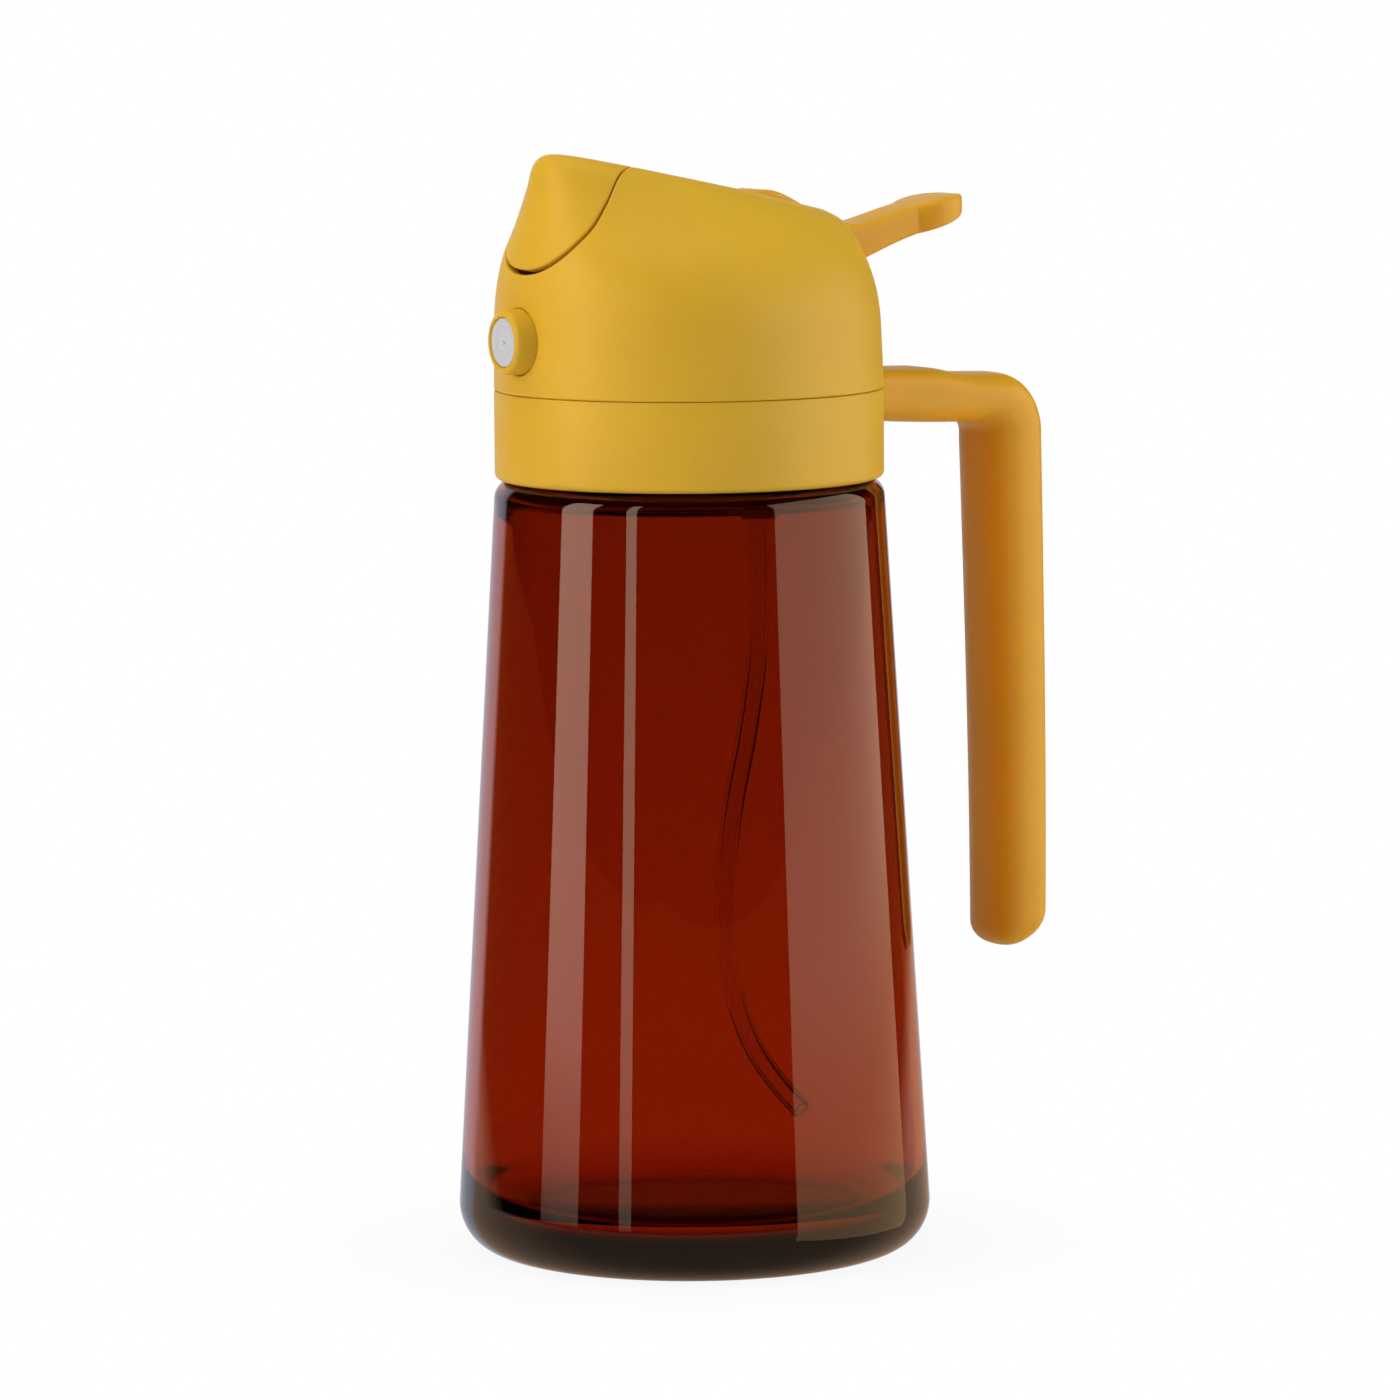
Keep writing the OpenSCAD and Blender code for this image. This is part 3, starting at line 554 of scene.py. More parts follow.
def amber_glass():
    """Clear brown glass: the colour comes from its surface, darkened towards the top as painted shade, and
    from the depth of glass that light crosses.
    """
    tree, output = new_material("amber_glass")
    # painted shade: the surface colour of the glass grows darker towards the top
    height = ramp(tree, height_of(tree, object_coords(tree)), 0.02, 0.125, 0, 1)
    tint_and_painted_shade = mix_colour(tree, height, (0.525, 0.133, 0.038), (0.449, 0.133, 0.038))
    wavy = bump(tree, noise(tree, object_coords(tree, (1, 1, 0.25)), 26.0, 2.0), 0.25, 0.0002)
    principled(tree, output, Base_Color=tint_and_painted_shade, Roughness=0.0, Normal=wavy, IOR=1.51, Transmission_Weight=1.0)
    depth = add(tree, "ShaderNodeVolumeAbsorption", (*colours().glass, 1), 400.0)
    tree.links.new(depth.outputs["Volume"], output.inputs["Volume"])


def clear_plastic(name, colour):
    """Clear drawn tube with faint unevenness along the draw."""
    tree, output = new_material(name)
    where = object_coords(tree, (1, 1, 0.2))
    shade = mix_colour(tree, noise(tree, where, 60.0), [c * 0.94 for c in colour], colour)
    uneven = bump(tree, noise(tree, where, 300.0, 2.0), 0.1, 0.00005)
    principled(tree, output, Base_Color=shade, Roughness=0.03, Normal=uneven, IOR=1.30,
               Transmission_Weight=1.0)


def steel(name, along):
    """Drawn stainless steel with fine lines along one direction."""
    tree, output = new_material(name)
    lines = noise(tree, object_coords(tree, along), 900.0, 4.0, 0.6)
    shade = mix_colour(tree, lines, (0.50, 0.50, 0.52), (0.64, 0.64, 0.65))
    principled(tree, output, Base_Color=shade, Roughness=ramp(tree, lines, 0.3, 0.7, 0.22, 0.36),
               Normal=bump(tree, lines, 0.15, 0.00002), Metallic=1.0)


def soft_rubber(name, colour, roughness):
    """Matt rubber or silicone with a powdery surface."""
    tree, output = new_material(name)
    where = object_coords(tree)
    shade = mix_colour(tree, noise(tree, where, 90.0, 4.0), [c * 0.9 for c in colour], colour)
    matt = ramp(tree, noise(tree, where, 400.0), 0.3, 0.7, roughness - 0.06, roughness + 0.06)
    powder = bump(tree, noise(tree, where, 2600.0, 2.0), 0.15, 0.00003)
    principled(tree, output, Base_Color=shade, Roughness=matt, Normal=powder, IOR=1.43)


def finishes():
    """All finishes, made once."""
    names = bpy.data.materials
    if "head_plastic" not in names:
        c = colours()
        moulded_plastic("head_plastic", tuple(c.plastic), 0.44, glow=0.15)
        # lever_plastic is more orange than head_plastic: partly its own colour, partly painted bounce light
        # from the amber glass
        moulded_plastic("lever_plastic", tuple(c.lever_plastic), 0.40, glow=0.45)
        moulded_plastic("white_disc", tuple(c.white), 0.30, 0.5)
        moulded_plastic("pale_plastic", (0.70, 0.69, 0.64), 0.38, 0.6)
        amber_glass()
        clear_plastic("clear_tube", (0.97, 0.96, 0.93))
        soft_rubber("pale_silicone", (0.62, 0.62, 0.60), 0.5)
        soft_rubber("black_rubber", (0.012, 0.012, 0.013), 0.55)
        steel("steel_pin", (1, 0.05, 1))
        steel("steel_wire", (1, 1, 1))
    return names


# ------------------------------------------------------------------ bottle

class OILBOTTLE_OT_glass(bpy.types.Operator):
    """Add the tapered glass bottle with its thick floor and rounded neck"""
    bl_idname = "oil_bottle.glass"
    bl_label = "Glass bottle"

    def execute(self, context):
        s = sizes()
        glass_r, wall, rim = s.glass_radius / MM, s.glass_wall / MM, s.rim_height / MM
        foot_r, heel_z, bore_r, lip = 33.0, 8.0, 23.4, 1.0
        shoulder_r, shoulder_z, round_r, round_in = 32.9, rim - 8, 3.4, 2.4
        outside = [(27.6, 0.9), (28.2, 0.25), (29.2, 0.0), (32.0, 0.0), (foot_r, 0.1)]
        outside += arc(foot_r, heel_z, glass_r - foot_r, -85, 0, 18, 7.9)
        top_z = shoulder_z - round_r
        outside += line_points((glass_r, heel_z), (shoulder_r, top_z))
        outside += arc(shoulder_r - round_r, top_z, round_r, 5, 90, 12)
        outside += [(27.2, shoulder_z), (26.6, shoulder_z + 0.1), (26.2, shoulder_z + 0.35)]
        outside += [(26.0, shoulder_z + 0.8)] + arc(26 - lip, rim - lip, lip, 0, 90, 6)
        inside = arc(bore_r + lip, rim - lip, lip, 90, 180, 6)
        inside += [(bore_r, shoulder_z + 0.6), (23.6, shoulder_z - 0.6), (24.2, shoulder_z - 1.5),
                   (25.2, shoulder_z - wall + 0.05)]
        high = (shoulder_r - wall, shoulder_z - wall - round_in)
        low = (glass_r - wall, 14.5)
        inside += arc(high[0] - round_in, high[1], round_in, 90, 2, 12) + line_points(high, low)
        inside += arc(low[0] - 9, 13.2, 9, -6, -90, 16, 7.0) + [(22.0, 6.25), (12.0, 6.5), (0.02, 6.6)]
        underside = [(0.02, 2.6), (12.0, 2.4), (20.0, 1.9), (25.4, 1.4)]
        shape = revolve(outside + inside + underside, 256)
        make_piece("glass_body", shape, "amber_glass", "bottle", "glass_bottle", 40, 0.02)
        return {"FINISHED"}


# ------------------------------------------------------------------ head

class OILBOTTLE_OT_collar(bpy.types.Operator):
    """Add the collar ring that screws onto the neck"""
    bl_idname = "oil_bottle.collar"
    bl_label = "Collar"

    def execute(self, context):
        low, deck, skirt = 130.9, 140.4, HEAD_R - 1.6
        neck_r, groove_r, foot_r, seam_r, seam_gap = 26.35, 28.25, 1.2, 0.3, 0.06
        profile = [(skirt, low + 0.2), (skirt + 0.2, low)]
        profile += arc(HEAD_R - foot_r, low + foot_r, foot_r, -90, 0, 9)
        profile += arc(HEAD_R - seam_r, SEAM_Z - seam_gap - seam_r, seam_r, 0, 90, 6)
        profile += [(skirt, SEAM_Z - seam_gap), (skirt, deck), (neck_r, deck), (neck_r, low + 0.8),
                    (groove_r, low + 0.8), (groove_r, deck - 1.8), (skirt, deck - 1.8)]
        shape = revolve(profile, 256)
        make_piece("collar_ring", shape, "head_plastic", "head", "collar", 32, 0.001)
        return {"FINISHED"}


class OILBOTTLE_OT_shell(bpy.types.Operator):
    """Add the moulded head shell with its openings for the flap, the lever and the nozzle"""
    bl_idname = "oil_bottle.shell"
    bl_label = "Head shell"

    def execute(self, context):
        r = sizes().edge_round / MM

        def area(q, v):
            hole = np.maximum(flap_area(q, v, FLAP_GAP, FLAP_GAP_FRONT), slot_area(q, v))
            hole = np.maximum(hole, nozzle_area(q, v))
            return np.maximum(hole, SEAM_Z - head_point(q, v)[..., 2])

        shape = moulded_skin(area, 224, 136, r)
        make_piece("shell", shape, "head_plastic", "head", "head_shell", 40, 0.002)
        return {"FINISHED"}


class OILBOTTLE_OT_flap(bpy.types.Operator):
    """Add the gravity flap of the pour spout, with the lugs that hang on its pin"""
    bl_idname = "oil_bottle.flap"
    bl_label = "Pour flap"

    def execute(self, context):
        r = sizes().edge_round / MM
        front = (np.pi * 0.52, np.pi * 1.48)
        skin = moulded_skin(lambda q, v: -flap_area(q, v, 0.0, 0.0), 150, 190, r, v_low=0.28, q_range=front)
        shape = join_parts([skin, self.lug(-5.0), self.lug(5.0)])
        make_piece("pour_flap", shape, "head_plastic", "flap", "spout_flap", 40, 0.002)
        return {"FINISHED"}

    def lug(self, y):
        """A tab from the skin down round the pin."""
        px, pz = FLAP_PIVOT
        radius, half, top = 1.6, 0.8, pz + 2.9
        turn = np.radians(np.linspace(-150, 60, 22))
        outline = [(px + radius * math.cos(a), pz + radius * math.sin(a)) for a in turn]
        outline += [(px + 0.2, top), (px - 3.2, top)]
        verts = [(x, y + side * half, z) for side in (-1, 1) for x, z in outline]
        return verts, capped(2, len(outline))


# ------------------------------------------------------------------ nozzle, lever, handle

class OILBOTTLE_OT_nozzle(bpy.types.Operator):
    """Add the round nozzle: its rim with the flare into the shell, and the white disc with the jet"""
    bl_idname = "oil_bottle.nozzle"
    bl_label = "Nozzle"

    def execute(self, context):
        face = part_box("nozzle_bezel")[0][0] / MM
        rim = [(4.2, 7.2), (4.2, 0.3), (4.28, 0.1), (4.45, 0.0), (4.6, 0.0)]
        rim += arc(4.35, 1.0, 1.0, -75, 0, 8)
        rim += [(5.36, 1.8), (5.42, 2.6), (5.52, 3.4), (5.62, 4.2), (5.68, 5.2), (5.68, 6.2)]
        rim += [(6.5, 6.2), (6.5, 7.2)]
        disc = [(0.3, 2.4), (0.3, 0.6), (0.62, 0.27), (0.7, 0.25)]
        disc += [(2.58, 0.25), (2.64, 0.30), (2.72, 0.30), (2.78, 0.25)]
        disc += [(3.85, 0.25), (3.98, 0.29), (4.07, 0.38), (4.1, 0.5), (4.1, 2.4)]
        for name, profile, finish, node, slot in (
                ("nozzle_rim", rim, "head_plastic", "nozzle_bezel", "body_yellow"),
                ("nozzle_disc", disc, "white_disc", "nozzle_insert", "nozzle_white")):
            verts, faces = revolve(profile, 128)
            # the axis of revolution points into the head, along +X
            verts = np.stack([face + verts[:, 2], verts[:, 1], NOZZLE_Z + verts[:, 0]], 1)
            make_piece(name, (verts, faces), finish, "head", node, 40)
        return {"FINISHED"}


class OILBOTTLE_OT_lever(bpy.types.Operator):
    """Add the thumb lever with its flared pad and the nose that presses the pump"""
    bl_idname = "oil_bottle.lever"
    bl_label = "Thumb lever"

    def execute(self, context):
        end, pad_r, pad_l, arm, tip_l = 53.0, 6.6, 6.0, LEVER_W / 2, 1.4
        fine = np.linspace(0, 1, 400)
        top = cubic([[-2.6, 2.6], [1, 3.2], [6, 3.9], [9.6, 4.8], [10.9, 7.2], [13, 8.0], [16, 7.3],
                     [20, 5.3], [25, 2.9], [30, 1.75], [34, 2.2], [39.5, 3.7], [44.5, 4.95], [49, 5.9],
                     [end, 6.2]], fine)
        low = cubic([[-2.6, 1.4], [1, -0.5], [4, -1.6], [9, 0.6], [18, 1.2], [22, -0.6], [27, -3.4],
                     [31, -4.2], [33.2, -3.8], [38.3, -1.8], [43, -0.3], [47, 0.9], [51.5, 2.4],
                     [end, 3.2]], fine)
        tip = end - 0.02 - pad_l * (1 - np.sin(np.linspace(0, np.pi / 2, 40)))
        stations = np.concatenate([np.linspace(-2.4, 36, 90), np.linspace(36.3, end - pad_l, 70)[:-1], tip])
        verts = []
        for x in stations:
            zt, zl = np.interp(x, top[:, 0], top[:, 1]), np.interp(x, low[:, 0], low[:, 1])
            half = pad_r * math.sqrt(max(0.0, 1 - ((x - end + pad_l) / pad_l) ** 2))
            if x < end - pad_l:
                # a small fillet in the crease where the pad starts
                h = max(0.0, min(1.0, 0.5 + 0.5 * (half - arm) / 0.8))
                half = arm * (1 - h) + half * h + 0.4 * h * (1 - h)
            half = max(half, 0.3)
            thick = zt - zl
            edge = min(0.9, half * 0.9, thick * 0.45)
            if x > end - tip_l:
                thick *= 1 - 0.16 * ((x - end + tip_l) / tip_l) ** 2
                mid = (zt + zl) / 2
                zt, zl = mid + thick / 2, mid - thick / 2
            side = half - edge
            corners = ((side, zt - edge), (-side, zt - edge), (-side, zl + edge), (side, zl + edge))
            for quarter, (y, z) in enumerate(corners):
                rounded = arc(y, LEVER_PIVOT[1] + z, edge, quarter * 90, quarter * 90 + 90, 7)
                verts += [(x, *point) for point in rounded]
        rows = len(stations)
        boss = round_bar(LEVER_PIVOT, arm, 3.5, 0.4)
        nose = round_bar((PUMP_X, LEVER_PIVOT[1]), 2.4, 3.0, 0.3)
        shape = join_parts([(verts, capped(rows, len(verts) // rows)), boss, nose])
        make_piece("press_lever", shape, "lever_plastic", "lever", "thumb_lever", 38, 0.001)
        return {"FINISHED"}


class OILBOTTLE_OT_handle(bpy.types.Operator):
    """Add the side handle: arm, bend and grip in one moulding"""
    bl_idname = "oil_bottle.handle"
    bl_label = "Handle"

    def ring(self, c, angle, depth, width, e, n=112):
        p = np.arange(n) * 2 * np.pi / n
        f = (np.abs(np.cos(p)) ** e + np.abs(np.sin(p)) ** e) ** (-1 / e)
        u = depth / 2 * f * np.cos(p)
        across = -width / 2 * f * np.sin(p)
        return np.stack([c[0] + u * math.sin(angle), across, c[1] + u * math.cos(angle)], 1)

    def span(self, outer, inner, width, e):
        """The section between an outer and an inner point of the side view."""
        d = outer - inner
        return self.ring((outer + inner) / 2, math.atan2(d[0], d[1]), math.hypot(*d), width, e)

    def execute(self, context):
        start, under = HEAD_R - 1.2, SEAM_Z - 6.35
        arm_h, swell, elbow_h, drop, arm_w = 8.75, 0.8, 8.3, 1.65, 16.0
        elbow_out, elbow_down, elbow_in = 8.5, 10.5, 2.2
        grip_x, lean, grip_d, grip_w, taper_d, taper_w = 62.6, 1.4, 11.4, 17.0, 0.8, 1.4
        end_z, in_r, out_r, tilt = 46.5, 3.4, 6.0, math.radians(28)
        in_x = grip_x - (lean + grip_d) / 2
        out_x = in_x + grip_d
        end_under = under - drop
        arm_l, grip_top = in_x - elbow_in - start, end_under - elbow_in - 1.5
        end_d, end_w = grip_d - taper_d, grip_w - taper_w
        # centres of the two roundings of the lower end
        end_in = np.array([grip_x + (lean - end_d) / 2 + in_r, end_z + in_r])
        step = end_d - in_r - out_r
        end_out = end_in + [step, (step * math.sin(tilt) + out_r - in_r) / math.cos(tilt)]
        rings = []
        for t in np.linspace(0, 0.97, 20):
            # the arm has a flat top that ends in a soft step before the elbow
            k = max(0.0, (t - 0.76) / 0.21)
            k = k * k * (3 - 2 * k)
            h = (arm_h + swell * t) * (1 - k) + (elbow_h + 0.15) * k
            wide = arm_w + (grip_w - arm_w) * t / 2
            ring = self.ring([start + arm_l * t, under - drop * t + h / 2], 0, h, wide, 4.2 - k)
            # the first sections follow the round of the collar
            on_collar = np.sqrt((HEAD_R + 0.02) ** 2 - ring[:, 1] ** 2)
            ring[:, 0] = on_collar if t == 0 else ring[:, 0] * t + on_collar * (1 - t)
            rings.append(ring)
        for t in np.linspace(0, 1, 30):
            a = t * math.pi / 2
            way = np.array([math.sin(a), math.cos(a)]) - 1
            outer = np.array([out_x + elbow_out * way[0], end_under + elbow_h + elbow_down * way[1]])
            inner = np.array([in_x, end_under]) + elbow_in * way
            rings.append(self.span(outer, inner, arm_w + (grip_w - arm_w) * (1 + t) / 2, 2.8 - 0.3 * t))
        slant = math.atan2(end_out[1] - end_in[1], end_d)
        low = (end_out[1] + end_in[1]) / 2
        for t in np.linspace(0, 1, 36)[:-1]:
            # the sections tip over towards the slanted end and stay on the same sides
            tip = slant * max(0.0, (t - 0.75) / 0.25)
            centre = [grip_x + lean * (math.sin(math.pi / 2 * t) - 0.5), grip_top + (low - grip_top) * t]
            deep = (grip_d - taper_d * t) / math.cos(tip)
            rings.append(self.ring(centre, math.pi / 2 - tip, deep, grip_w - taper_w * t, 2.5))
        for u in np.linspace(0, 1, 18):
            p, q = -(math.pi / 2 - tilt) * u, math.pi + (math.pi / 2 + tilt) * u
            outer = end_out + out_r * np.array([math.cos(p), math.sin(p)])
            inner = end_in + in_r * np.array([math.cos(q), math.sin(q)])
            wide = end_w - (in_r + out_r) * (1 - math.cos(math.pi / 2 * u))
            rings.append(self.span(outer, inner, wide, 2.5))
        # the flat of the lower end closes in rings round its middle
        centre = rings[-1].mean(0)
        rings += [centre + (rings[-1] - centre) * f for f in (0.6, 0.25)]
        m, n = len(rings), len(rings[0])
        verts = np.vstack(rings + [centre[None]])
        faces = grid_faces(m, n) + [tuple(range(n))]
        faces += [((m - 1) * n + j, (m - 1) * n + (j + 1) % n, m * n) for j in range(n)]
        make_piece("side_handle", (verts, faces), "lever_plastic", "head", "handle", 50)
        return {"FINISHED"}


# ------------------------------------------------------------------ tubes and spring

class OILBOTTLE_OT_dip_tube(bpy.types.Operator):
    """Add the curved dip tube that hangs from the pump to the heel of the bottle"""
    bl_idname = "oil_bottle.dip_tube"
    bl_label = "Dip tube"

    def execute(self, context):
        route = [[PUMP_X, 137.0], [PUMP_X, 124.0], [13.4, 104], [11.2, 88], [8.0, 74], [6.3, 60], [7.2, 46],
                 [11, 34.5], [16, 27], [21.2, 21.4]]
        fine = smoothed(catmull(route, np.linspace(0, 1, 700)), 40, 16.0)
        path = fine[np.linspace(0, len(fine) - 1, 150).astype(int)]
        heading = np.gradient(path, axis=0)
        heading /= np.linalg.norm(heading, axis=1, keepdims=True)
        n, m = 28, len(path)
        turn = np.arange(n) * 2 * np.pi / n

        def rings(radius):
            across, side = radius * np.cos(turn), -radius * np.sin(turn)
            return [np.stack([p[0] - across * h[1], side, p[1] + across * h[0]], 1)
                    for p, h in zip(path, heading)]

        verts = np.concatenate(rings(1.75) + rings(1.05))
        faces = grid_faces(m, n) + grid_faces(m, n, m * n, True)
        for out in (0, (m - 1) * n):
            bore = m * n + out
            faces += [(out + j, out + (j + 1) % n, bore + (j + 1) % n, bore + j) for j in range(n)]
        make_piece("suction_tube", (verts, faces), "clear_tube", "head", "dip_tube", 40)
        return {"FINISHED"}


def spring_tree():
    """Geometry nodes: round wire along a helix with its ends closed flat."""
    tree = bpy.data.node_groups.new("coil_spring", "GeometryNodeTree")
    face = tree.interface
    face.new_socket("Geometry", in_out="INPUT", socket_type="NodeSocketGeometry")
    for name, value in (("Radius", 0.006), ("Height", 0.01), ("Turns", 5.0), ("Wire", 0.00045)):
        socket = face.new_socket(name, in_out="INPUT", socket_type="NodeSocketFloat")
        socket.default_value = value
    face.new_socket("Finish", in_out="INPUT", socket_type="NodeSocketMaterial")
    face.new_socket("Geometry", in_out="OUTPUT", socket_type="NodeSocketGeometry")
    given = add(tree, "NodeGroupInput").outputs
    radius, height, turns = given["Radius"], given["Height"], given["Turns"]
    helix = add(tree, "GeometryNodeCurveSpiral", Resolution=40, Rotations=turns, Start_Radius=radius,
                End_Radius=radius, Height=height)
    wire = add(tree, "GeometryNodeCurvePrimitiveCircle", Resolution=14, Radius=given["Wire"])
    sweep = add(tree, "GeometryNodeCurveToMesh", Curve=helix.outputs["Curve"],
                Profile_Curve=wire.outputs["Curve"], Fill_Caps=True)
    smooth = add(tree, "GeometryNodeSetShadeSmooth", Geometry=sweep.outputs["Mesh"])
    real = add(tree, "GeometryNodeRealizeInstances", Geometry=smooth.outputs["Geometry"])
    finish = add(tree, "GeometryNodeSetMaterial", Geometry=real.outputs["Geometry"], Material=given["Finish"])
    add(tree, "NodeGroupOutput", Geometry=finish.outputs["Geometry"])
    return tree


def grown_by_nodes(name, tree, values):
    """A plain mesh object from a geometry nodes tree; the modifier doesn't stay."""
    holder = linked(name + "_nodes", bpy.data.meshes.new(name + "_nodes"))
    modifier = holder.modifiers.new("nodes", "NODES")
    modifier.node_group = tree
    for item in tree.interface.items_tree:
        if item.name in values:
            modifier[item.identifier] = values[item.name]
    evaluated = holder.evaluated_get(bpy.context.evaluated_depsgraph_get())
    mesh = bpy.data.meshes.new_from_object(evaluated)
    bpy.data.objects.remove(holder)
    mesh.name = name
    return linked(name, mesh)


class OILBOTTLE_OT_spring(bpy.types.Operator):
    """Add the pump's return spring, swept by geometry nodes"""
    bl_idname = "oil_bottle.spring"
    bl_label = "Return spring"

    def execute(self, context):
        low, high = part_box("return_spring")
        wire = 0.00045
        finish = finishes()["steel_wire"]
        values = {
            "Radius": (high[0] - low[0]) / 2 - wire,
            "Height": high[2] - low[2] - 2 * wire,
            "Turns": sizes().spring_turns,
            "Wire": wire,
            "Finish": finish,
        }
        obj = grown_by_nodes("coil_spring", spring_tree(), values)
        centre = Vector(((low[0] + high[0]) / 2, (low[1] + high[1]) / 2, low[2] + wire))
        for vert in obj.data.vertices:
            vert.co = vert.co + centre
        tidy_mesh(obj, 50, 0.0001)
        finish_piece(obj, finish, "head", "return_spring")
        return {"FINISHED"}


# ------------------------------------------------------------------ carried-over solids

class OILBOTTLE_OT_inner_parts(bpy.types.Operator):
    """Give every solid that stays in view its own finish"""
    bl_idname = "oil_bottle.inner_parts"
    bl_label = "Inner parts"

    def execute(self, context):
        nodes_of = {
            "head_plastic": ("inner_deck", "pour_channel"),
            "pale_plastic": ("pump_body", "pump_piston", "inlet_valve_seat", "nozzle_body", "swirl_core"),
            "pale_silicone": ("neck_gasket", "pump_washer"),
            "black_rubber": ("piston_seal",),
            "clear_tube": ("feed_tube",),
            "steel_pin": ("flap_pin", "lever_pin"),
            "steel_wire": ("inlet_ball", "outlet_ball"),
        }
        for finish, nodes in nodes_of.items():
            for node in nodes:
                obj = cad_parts[node]
                obj.data.materials.clear()
                obj.data.materials.append(finishes()[finish])
        return {"FINISHED"}


# ------------------------------------------------------------------ stage

CAMERA_AT = Vector((-0.598, -1.036, 0.2338))


def area_lamp(name, at, target, size, power, colour=(1, 1, 1)):
    """A soft lamp that lights the object and is never mirrored: the cards are mirrored in its place."""
    data = bpy.data.lights.new(name, "AREA")
    data.shape = "RECTANGLE"
    data.size, data.size_y = size
    data.energy = power
    data.color = colour
    lamp = linked(name, data)
    lamp.location = at
    lamp.rotation_euler = (Vector(target) - Vector(at)).to_track_quat("-Z", "Y").to_euler()
    lamp.visible_camera = lamp.visible_transmission = lamp.visible_glossy = False


def around(angle, distance):
    """A place at an angle to the right of the camera, seen from the bottle."""
    a = math.atan2(CAMERA_AT.y, CAMERA_AT.x) + math.radians(angle)
    return Vector((distance * math.cos(a), distance * math.sin(a), 0.0))


def stage_plane(name, material, corners):
    """A flat sheet that belongs to the stage."""
    mesh = bpy.data.meshes.new(name)
    mesh.from_pydata(corners, [], [(0, 1, 2, 3)])
    mesh.materials.append(bpy.data.materials[material])
    plane = linked(name, mesh)
    return plane


def mirror_card(name, angle, distance, width, rows):
    """An upright glowing card that only shiny surfaces show. Rows are (height, colour), foot first."""
    centre = around(angle, distance)
    side = Vector((-centre.y, centre.x, 0.0)).normalized() * (width / 2)
    low, high = rows[0][0], rows[-1][0]
    tree, output = new_material(name)
    share = ramp(tree, height_of(tree, object_coords(tree)), low, high, 0.0, 1.0)
    steps = add(tree, "ShaderNodeValToRGB", share)
    stops = steps.color_ramp.elements
    for i, (height, colour) in enumerate(rows):
        where = (height - low) / (high - low)
        stop = stops[i] if i < 2 else stops.new(where)
        stop.position = where
        stop.color = (*colour, 1)
    glow = add(tree, "ShaderNodeEmission", steps.outputs["Color"], 1.0)
    put(tree, output, "Surface", glow.outputs[0])
    ends = ((centre - side, low), (centre + side, low), (centre + side, high), (centre - side, high))
    card = stage_plane(name, name, [(at.x, at.y, z) for at, z in ends])
    card.visible_camera = card.visible_diffuse = card.visible_transmission = card.visible_shadow = False


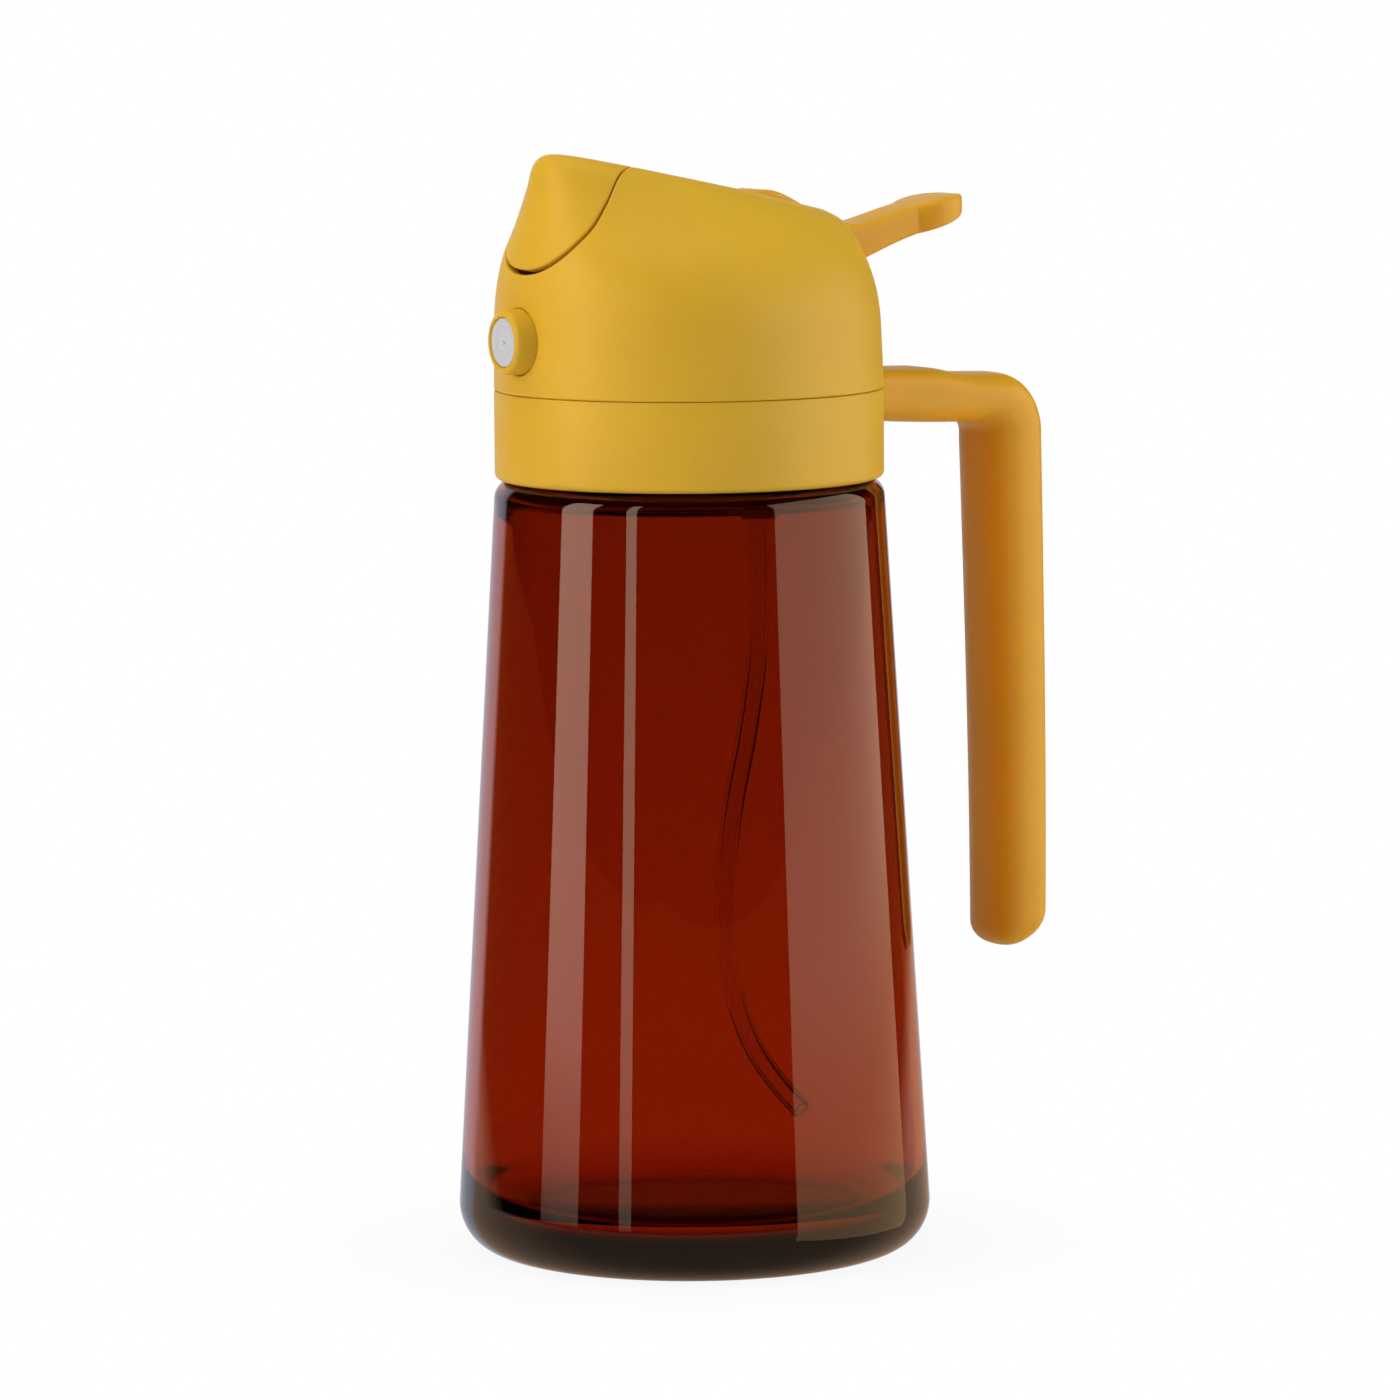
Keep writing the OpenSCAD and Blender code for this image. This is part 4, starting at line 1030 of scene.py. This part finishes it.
class OILBOTTLE_OT_stage(bpy.types.Operator):
    """Add the floor, the studio lamps, the world and the camera"""
    bl_idname = "oil_bottle.stage"
    bl_label = "Stage"

    def execute(self, context):
        self.floor()
        self.lamps()
        self.world()
        self.camera()
        context.scene.view_settings.view_transform = "Standard"
        return {"FINISHED"}

    def floor(self):
        tree, output = new_material("studio_floor")
        path = add(tree, "ShaderNodeLightPath").outputs
        through = path["Is Transmission Ray"]
        seen = add(tree, "ShaderNodeMath", path["Is Camera Ray"], through, operation="MAXIMUM").outputs[0]
        reach = add(tree, "ShaderNodeVectorMath", object_coords(tree), operation="LENGTH").outputs["Value"]
        # the shadow under the bottle stays, the floor further off is plain white
        near = ramp(tree, reach, 0.045, 0.085, 0.92, 1.0)
        # seen through the glass, the floor under the bottle is dark: its glow is taken away there as a
        # painted contact shadow
        under = ramp(tree, reach, 0.030, 0.043, 0.06, 1.0)
        white = add(tree, "ShaderNodeMix", data_type="FLOAT", Factor=through, A=near, B=under).outputs[0]
        share = add(tree, "ShaderNodeMath", seen, white, operation="MULTIPLY").outputs[0]
        diffuse = add(tree, "ShaderNodeBsdfDiffuse", Color=(0.86, 0.86, 0.86, 1)).outputs[0]
        glow = add(tree, "ShaderNodeEmission", (1, 1, 1, 1), 1.0).outputs[0]
        put(tree, output, "Surface", add(tree, "ShaderNodeMixShader", share, diffuse, glow).outputs[0])
        half = 3.0
        corners = [(-half, -half, 0), (half, -half, 0), (half, half, 0), (-half, half, 0)]
        floor = stage_plane("floor", "studio_floor", corners)
        floor.visible_glossy = False      # glossy surfaces show the world's own floor instead

    def lamps(self):
        away, deep = 0.9, 0.85      # distances of the left and the right lamps
        level = Vector((0, 0, 0.367))
        left, strip, right = around(-68.2, away), around(-33.4, away), around(85.5, away) * 0.944
        area_lamp("left_softbox", left + level, level, (0.342, 0.866), 4.22, (1.0, 0.90, 0.74))
        area_lamp("left_strip", strip + level, level, (0.096, 0.866), 0.90, (1.0, 0.92, 0.80))
        area_lamp("right_softbox", right + level, level, (1.235, 0.82), 4.5)
        area_lamp("top_softbox", (-0.1, 0.1, 1.1), (0, 0, 0.11), (0.9, 0.9), 5.8)
        # light that the amber glass throws on the grip
        amber, grip = (0.042, -0.012, 0.085), (0.063, 0, 0.085)
        area_lamp("amber_bounce", amber, grip, (0.02, 0.10), 0.0035, (1.0, 0.28, 0.02))
        # the cards stand behind the table's edge, so their feet fade out in the glass
        top = 0.80
        feet = ((-0.10, 0.0), (-0.045, 0.45), (-0.015, 0.72), (0.03, 0.84), (0.13, 1.0), (top, 1.0))
        for name, angle, width, colour in (("left_card", -68.2, 0.342, (3.9, 2.9, 2.17)),
                                           ("strip_card", -33.4, 0.096, (2.77, 2.39, 1.66))):
            mirror_card(name, angle, away, width, [(z, [share * c for c in colour]) for z, share in feet])
        high, low = (1.84, 1.40, 0.96), (1.45, 0.94, 0.50)
        mirror_card("right_card", 87.0, deep, 1.29, [(-0.355, low), (-0.05, low), (0.0, high), (top, high)])

    def world(self):
        """White backdrop beyond the bottle and pale floor below, dark studio round the rest"""
        world = bpy.data.worlds.new("studio")
        bpy.context.scene.world = world
        world.use_nodes = True
        tree = world.node_tree
        tree.nodes.clear()
        output = tree.nodes.new("ShaderNodeOutputWorld")
        path = add(tree, "ShaderNodeLightPath").outputs
        way = add(tree, "ShaderNodeTexCoord").outputs["Generated"]

        def towards(x, y):
            dot = add(tree, "ShaderNodeVectorMath", way, (x, y, 0.0), operation="DOT_PRODUCT")
            return dot.outputs["Value"]

        def background(colour, strength=1.0):
            return add(tree, "ShaderNodeBackground", colour, strength).outputs[0]

        beyond = towards(0.276, 0.961)
        ground = ramp(tree, height_of(tree, way), -0.118, -0.132, 0.0, 1.0)
        behind = ramp(tree, beyond, -0.2, 0.35, 0.5, 0.8)
        lit = add(tree, "ShaderNodeMath", ground, behind, operation="MULTIPLY").outputs[0]
        table = mix_colour(tree, lit, (0.006, 0.006, 0.007), (0.80, 0.54, 0.37))
        mirrored = mix_colour(tree, ramp(tree, beyond, 0.86, 0.90, 0.0, 1.0), table, (0.62, 0.62, 0.72))
        # through the glass, only the backdrop is white
        wide = ramp(tree, towards(0.5, 0.866), 0.952, 0.972, 0.03, 1.0)
        through = mix_colour(tree, wide, (0, 0, 0), (1, 1, 1))
        white = (1, 1, 1, 1)
        shader = background(white, 0.30)
        for ray, colour in (("Is Glossy Ray", mirrored), ("Is Transmission Ray", through),
                            ("Is Camera Ray", white)):
            shader = add(tree, "ShaderNodeMixShader", path[ray], shader, background(colour)).outputs[0]
        put(tree, output, "Surface", shader)

    def camera(self):
        """The bottle seen from its front left, a little from above"""
        sensor, picture = 36.0, 1400      # sensor width in mm, picture width in pixels
        pitch, roll = 0.117024, -0.0073
        data = bpy.data.cameras.new("camera")
        camera = linked("camera", data)
        data.sensor_width = sensor
        data.lens = 7131.05 / picture * sensor
        data.shift_x = 8.19 / picture
        data.clip_start = 0.05
        ahead = Vector((0.5 * math.cos(pitch), math.sqrt(0.75) * math.cos(pitch), -math.sin(pitch)))
        camera.location = CAMERA_AT
        turn = ahead.to_track_quat("-Z", "Y").to_matrix().to_4x4()
        camera.matrix_world = Matrix.Translation(CAMERA_AT) @ turn @ Matrix.Rotation(roll, 4, "Z")
        bpy.context.scene.camera = camera


# ------------------------------------------------------------------ panel and registration

class OILBOTTLE_PT_panel(bpy.types.Panel):
    """Sidebar panel with the pieces of the bottle"""
    bl_label = "Oil Bottle"
    bl_idname = "OILBOTTLE_PT_panel"
    bl_space_type = "VIEW_3D"
    bl_region_type = "UI"
    bl_category = "Oil Bottle"

    def draw(self, context):
        layout = self.layout
        for group in (sizes(), colours()):
            for prop in group.bl_rna.properties:
                if prop.identifier not in ("rna_type", "name"):
                    layout.prop(group, prop.identifier)
        for piece in PIECES:
            layout.operator(piece.bl_idname)


PIECES = (
    OILBOTTLE_OT_stage, OILBOTTLE_OT_glass, OILBOTTLE_OT_collar, OILBOTTLE_OT_shell, OILBOTTLE_OT_flap,
    OILBOTTLE_OT_nozzle, OILBOTTLE_OT_lever, OILBOTTLE_OT_handle, OILBOTTLE_OT_dip_tube, OILBOTTLE_OT_spring,
    OILBOTTLE_OT_inner_parts,
)
CLASSES = (BottleSizes, BottleColours) + PIECES + (OILBOTTLE_PT_panel,)


def register():
    for cls in CLASSES:
        bpy.utils.register_class(cls)
    bpy.types.Scene.oil_bottle_sizes = bpy.props.PointerProperty(type=BottleSizes)
    bpy.types.Scene.oil_bottle_colours = bpy.props.PointerProperty(type=BottleColours)


def unregister():
    del bpy.types.Scene.oil_bottle_colours
    del bpy.types.Scene.oil_bottle_sizes
    for cls in reversed(CLASSES):
        bpy.utils.unregister_class(cls)


def main():
    register()
    bpy.ops.oil_bottle.stage()
    bpy.ops.oil_bottle.glass()
    bpy.ops.oil_bottle.collar()
    bpy.ops.oil_bottle.shell()
    bpy.ops.oil_bottle.flap()
    bpy.ops.oil_bottle.nozzle()
    bpy.ops.oil_bottle.lever()
    bpy.ops.oil_bottle.handle()
    bpy.ops.oil_bottle.dip_tube()
    bpy.ops.oil_bottle.spring()
    bpy.ops.oil_bottle.inner_parts()


if __name__ == "__main__":
    main()
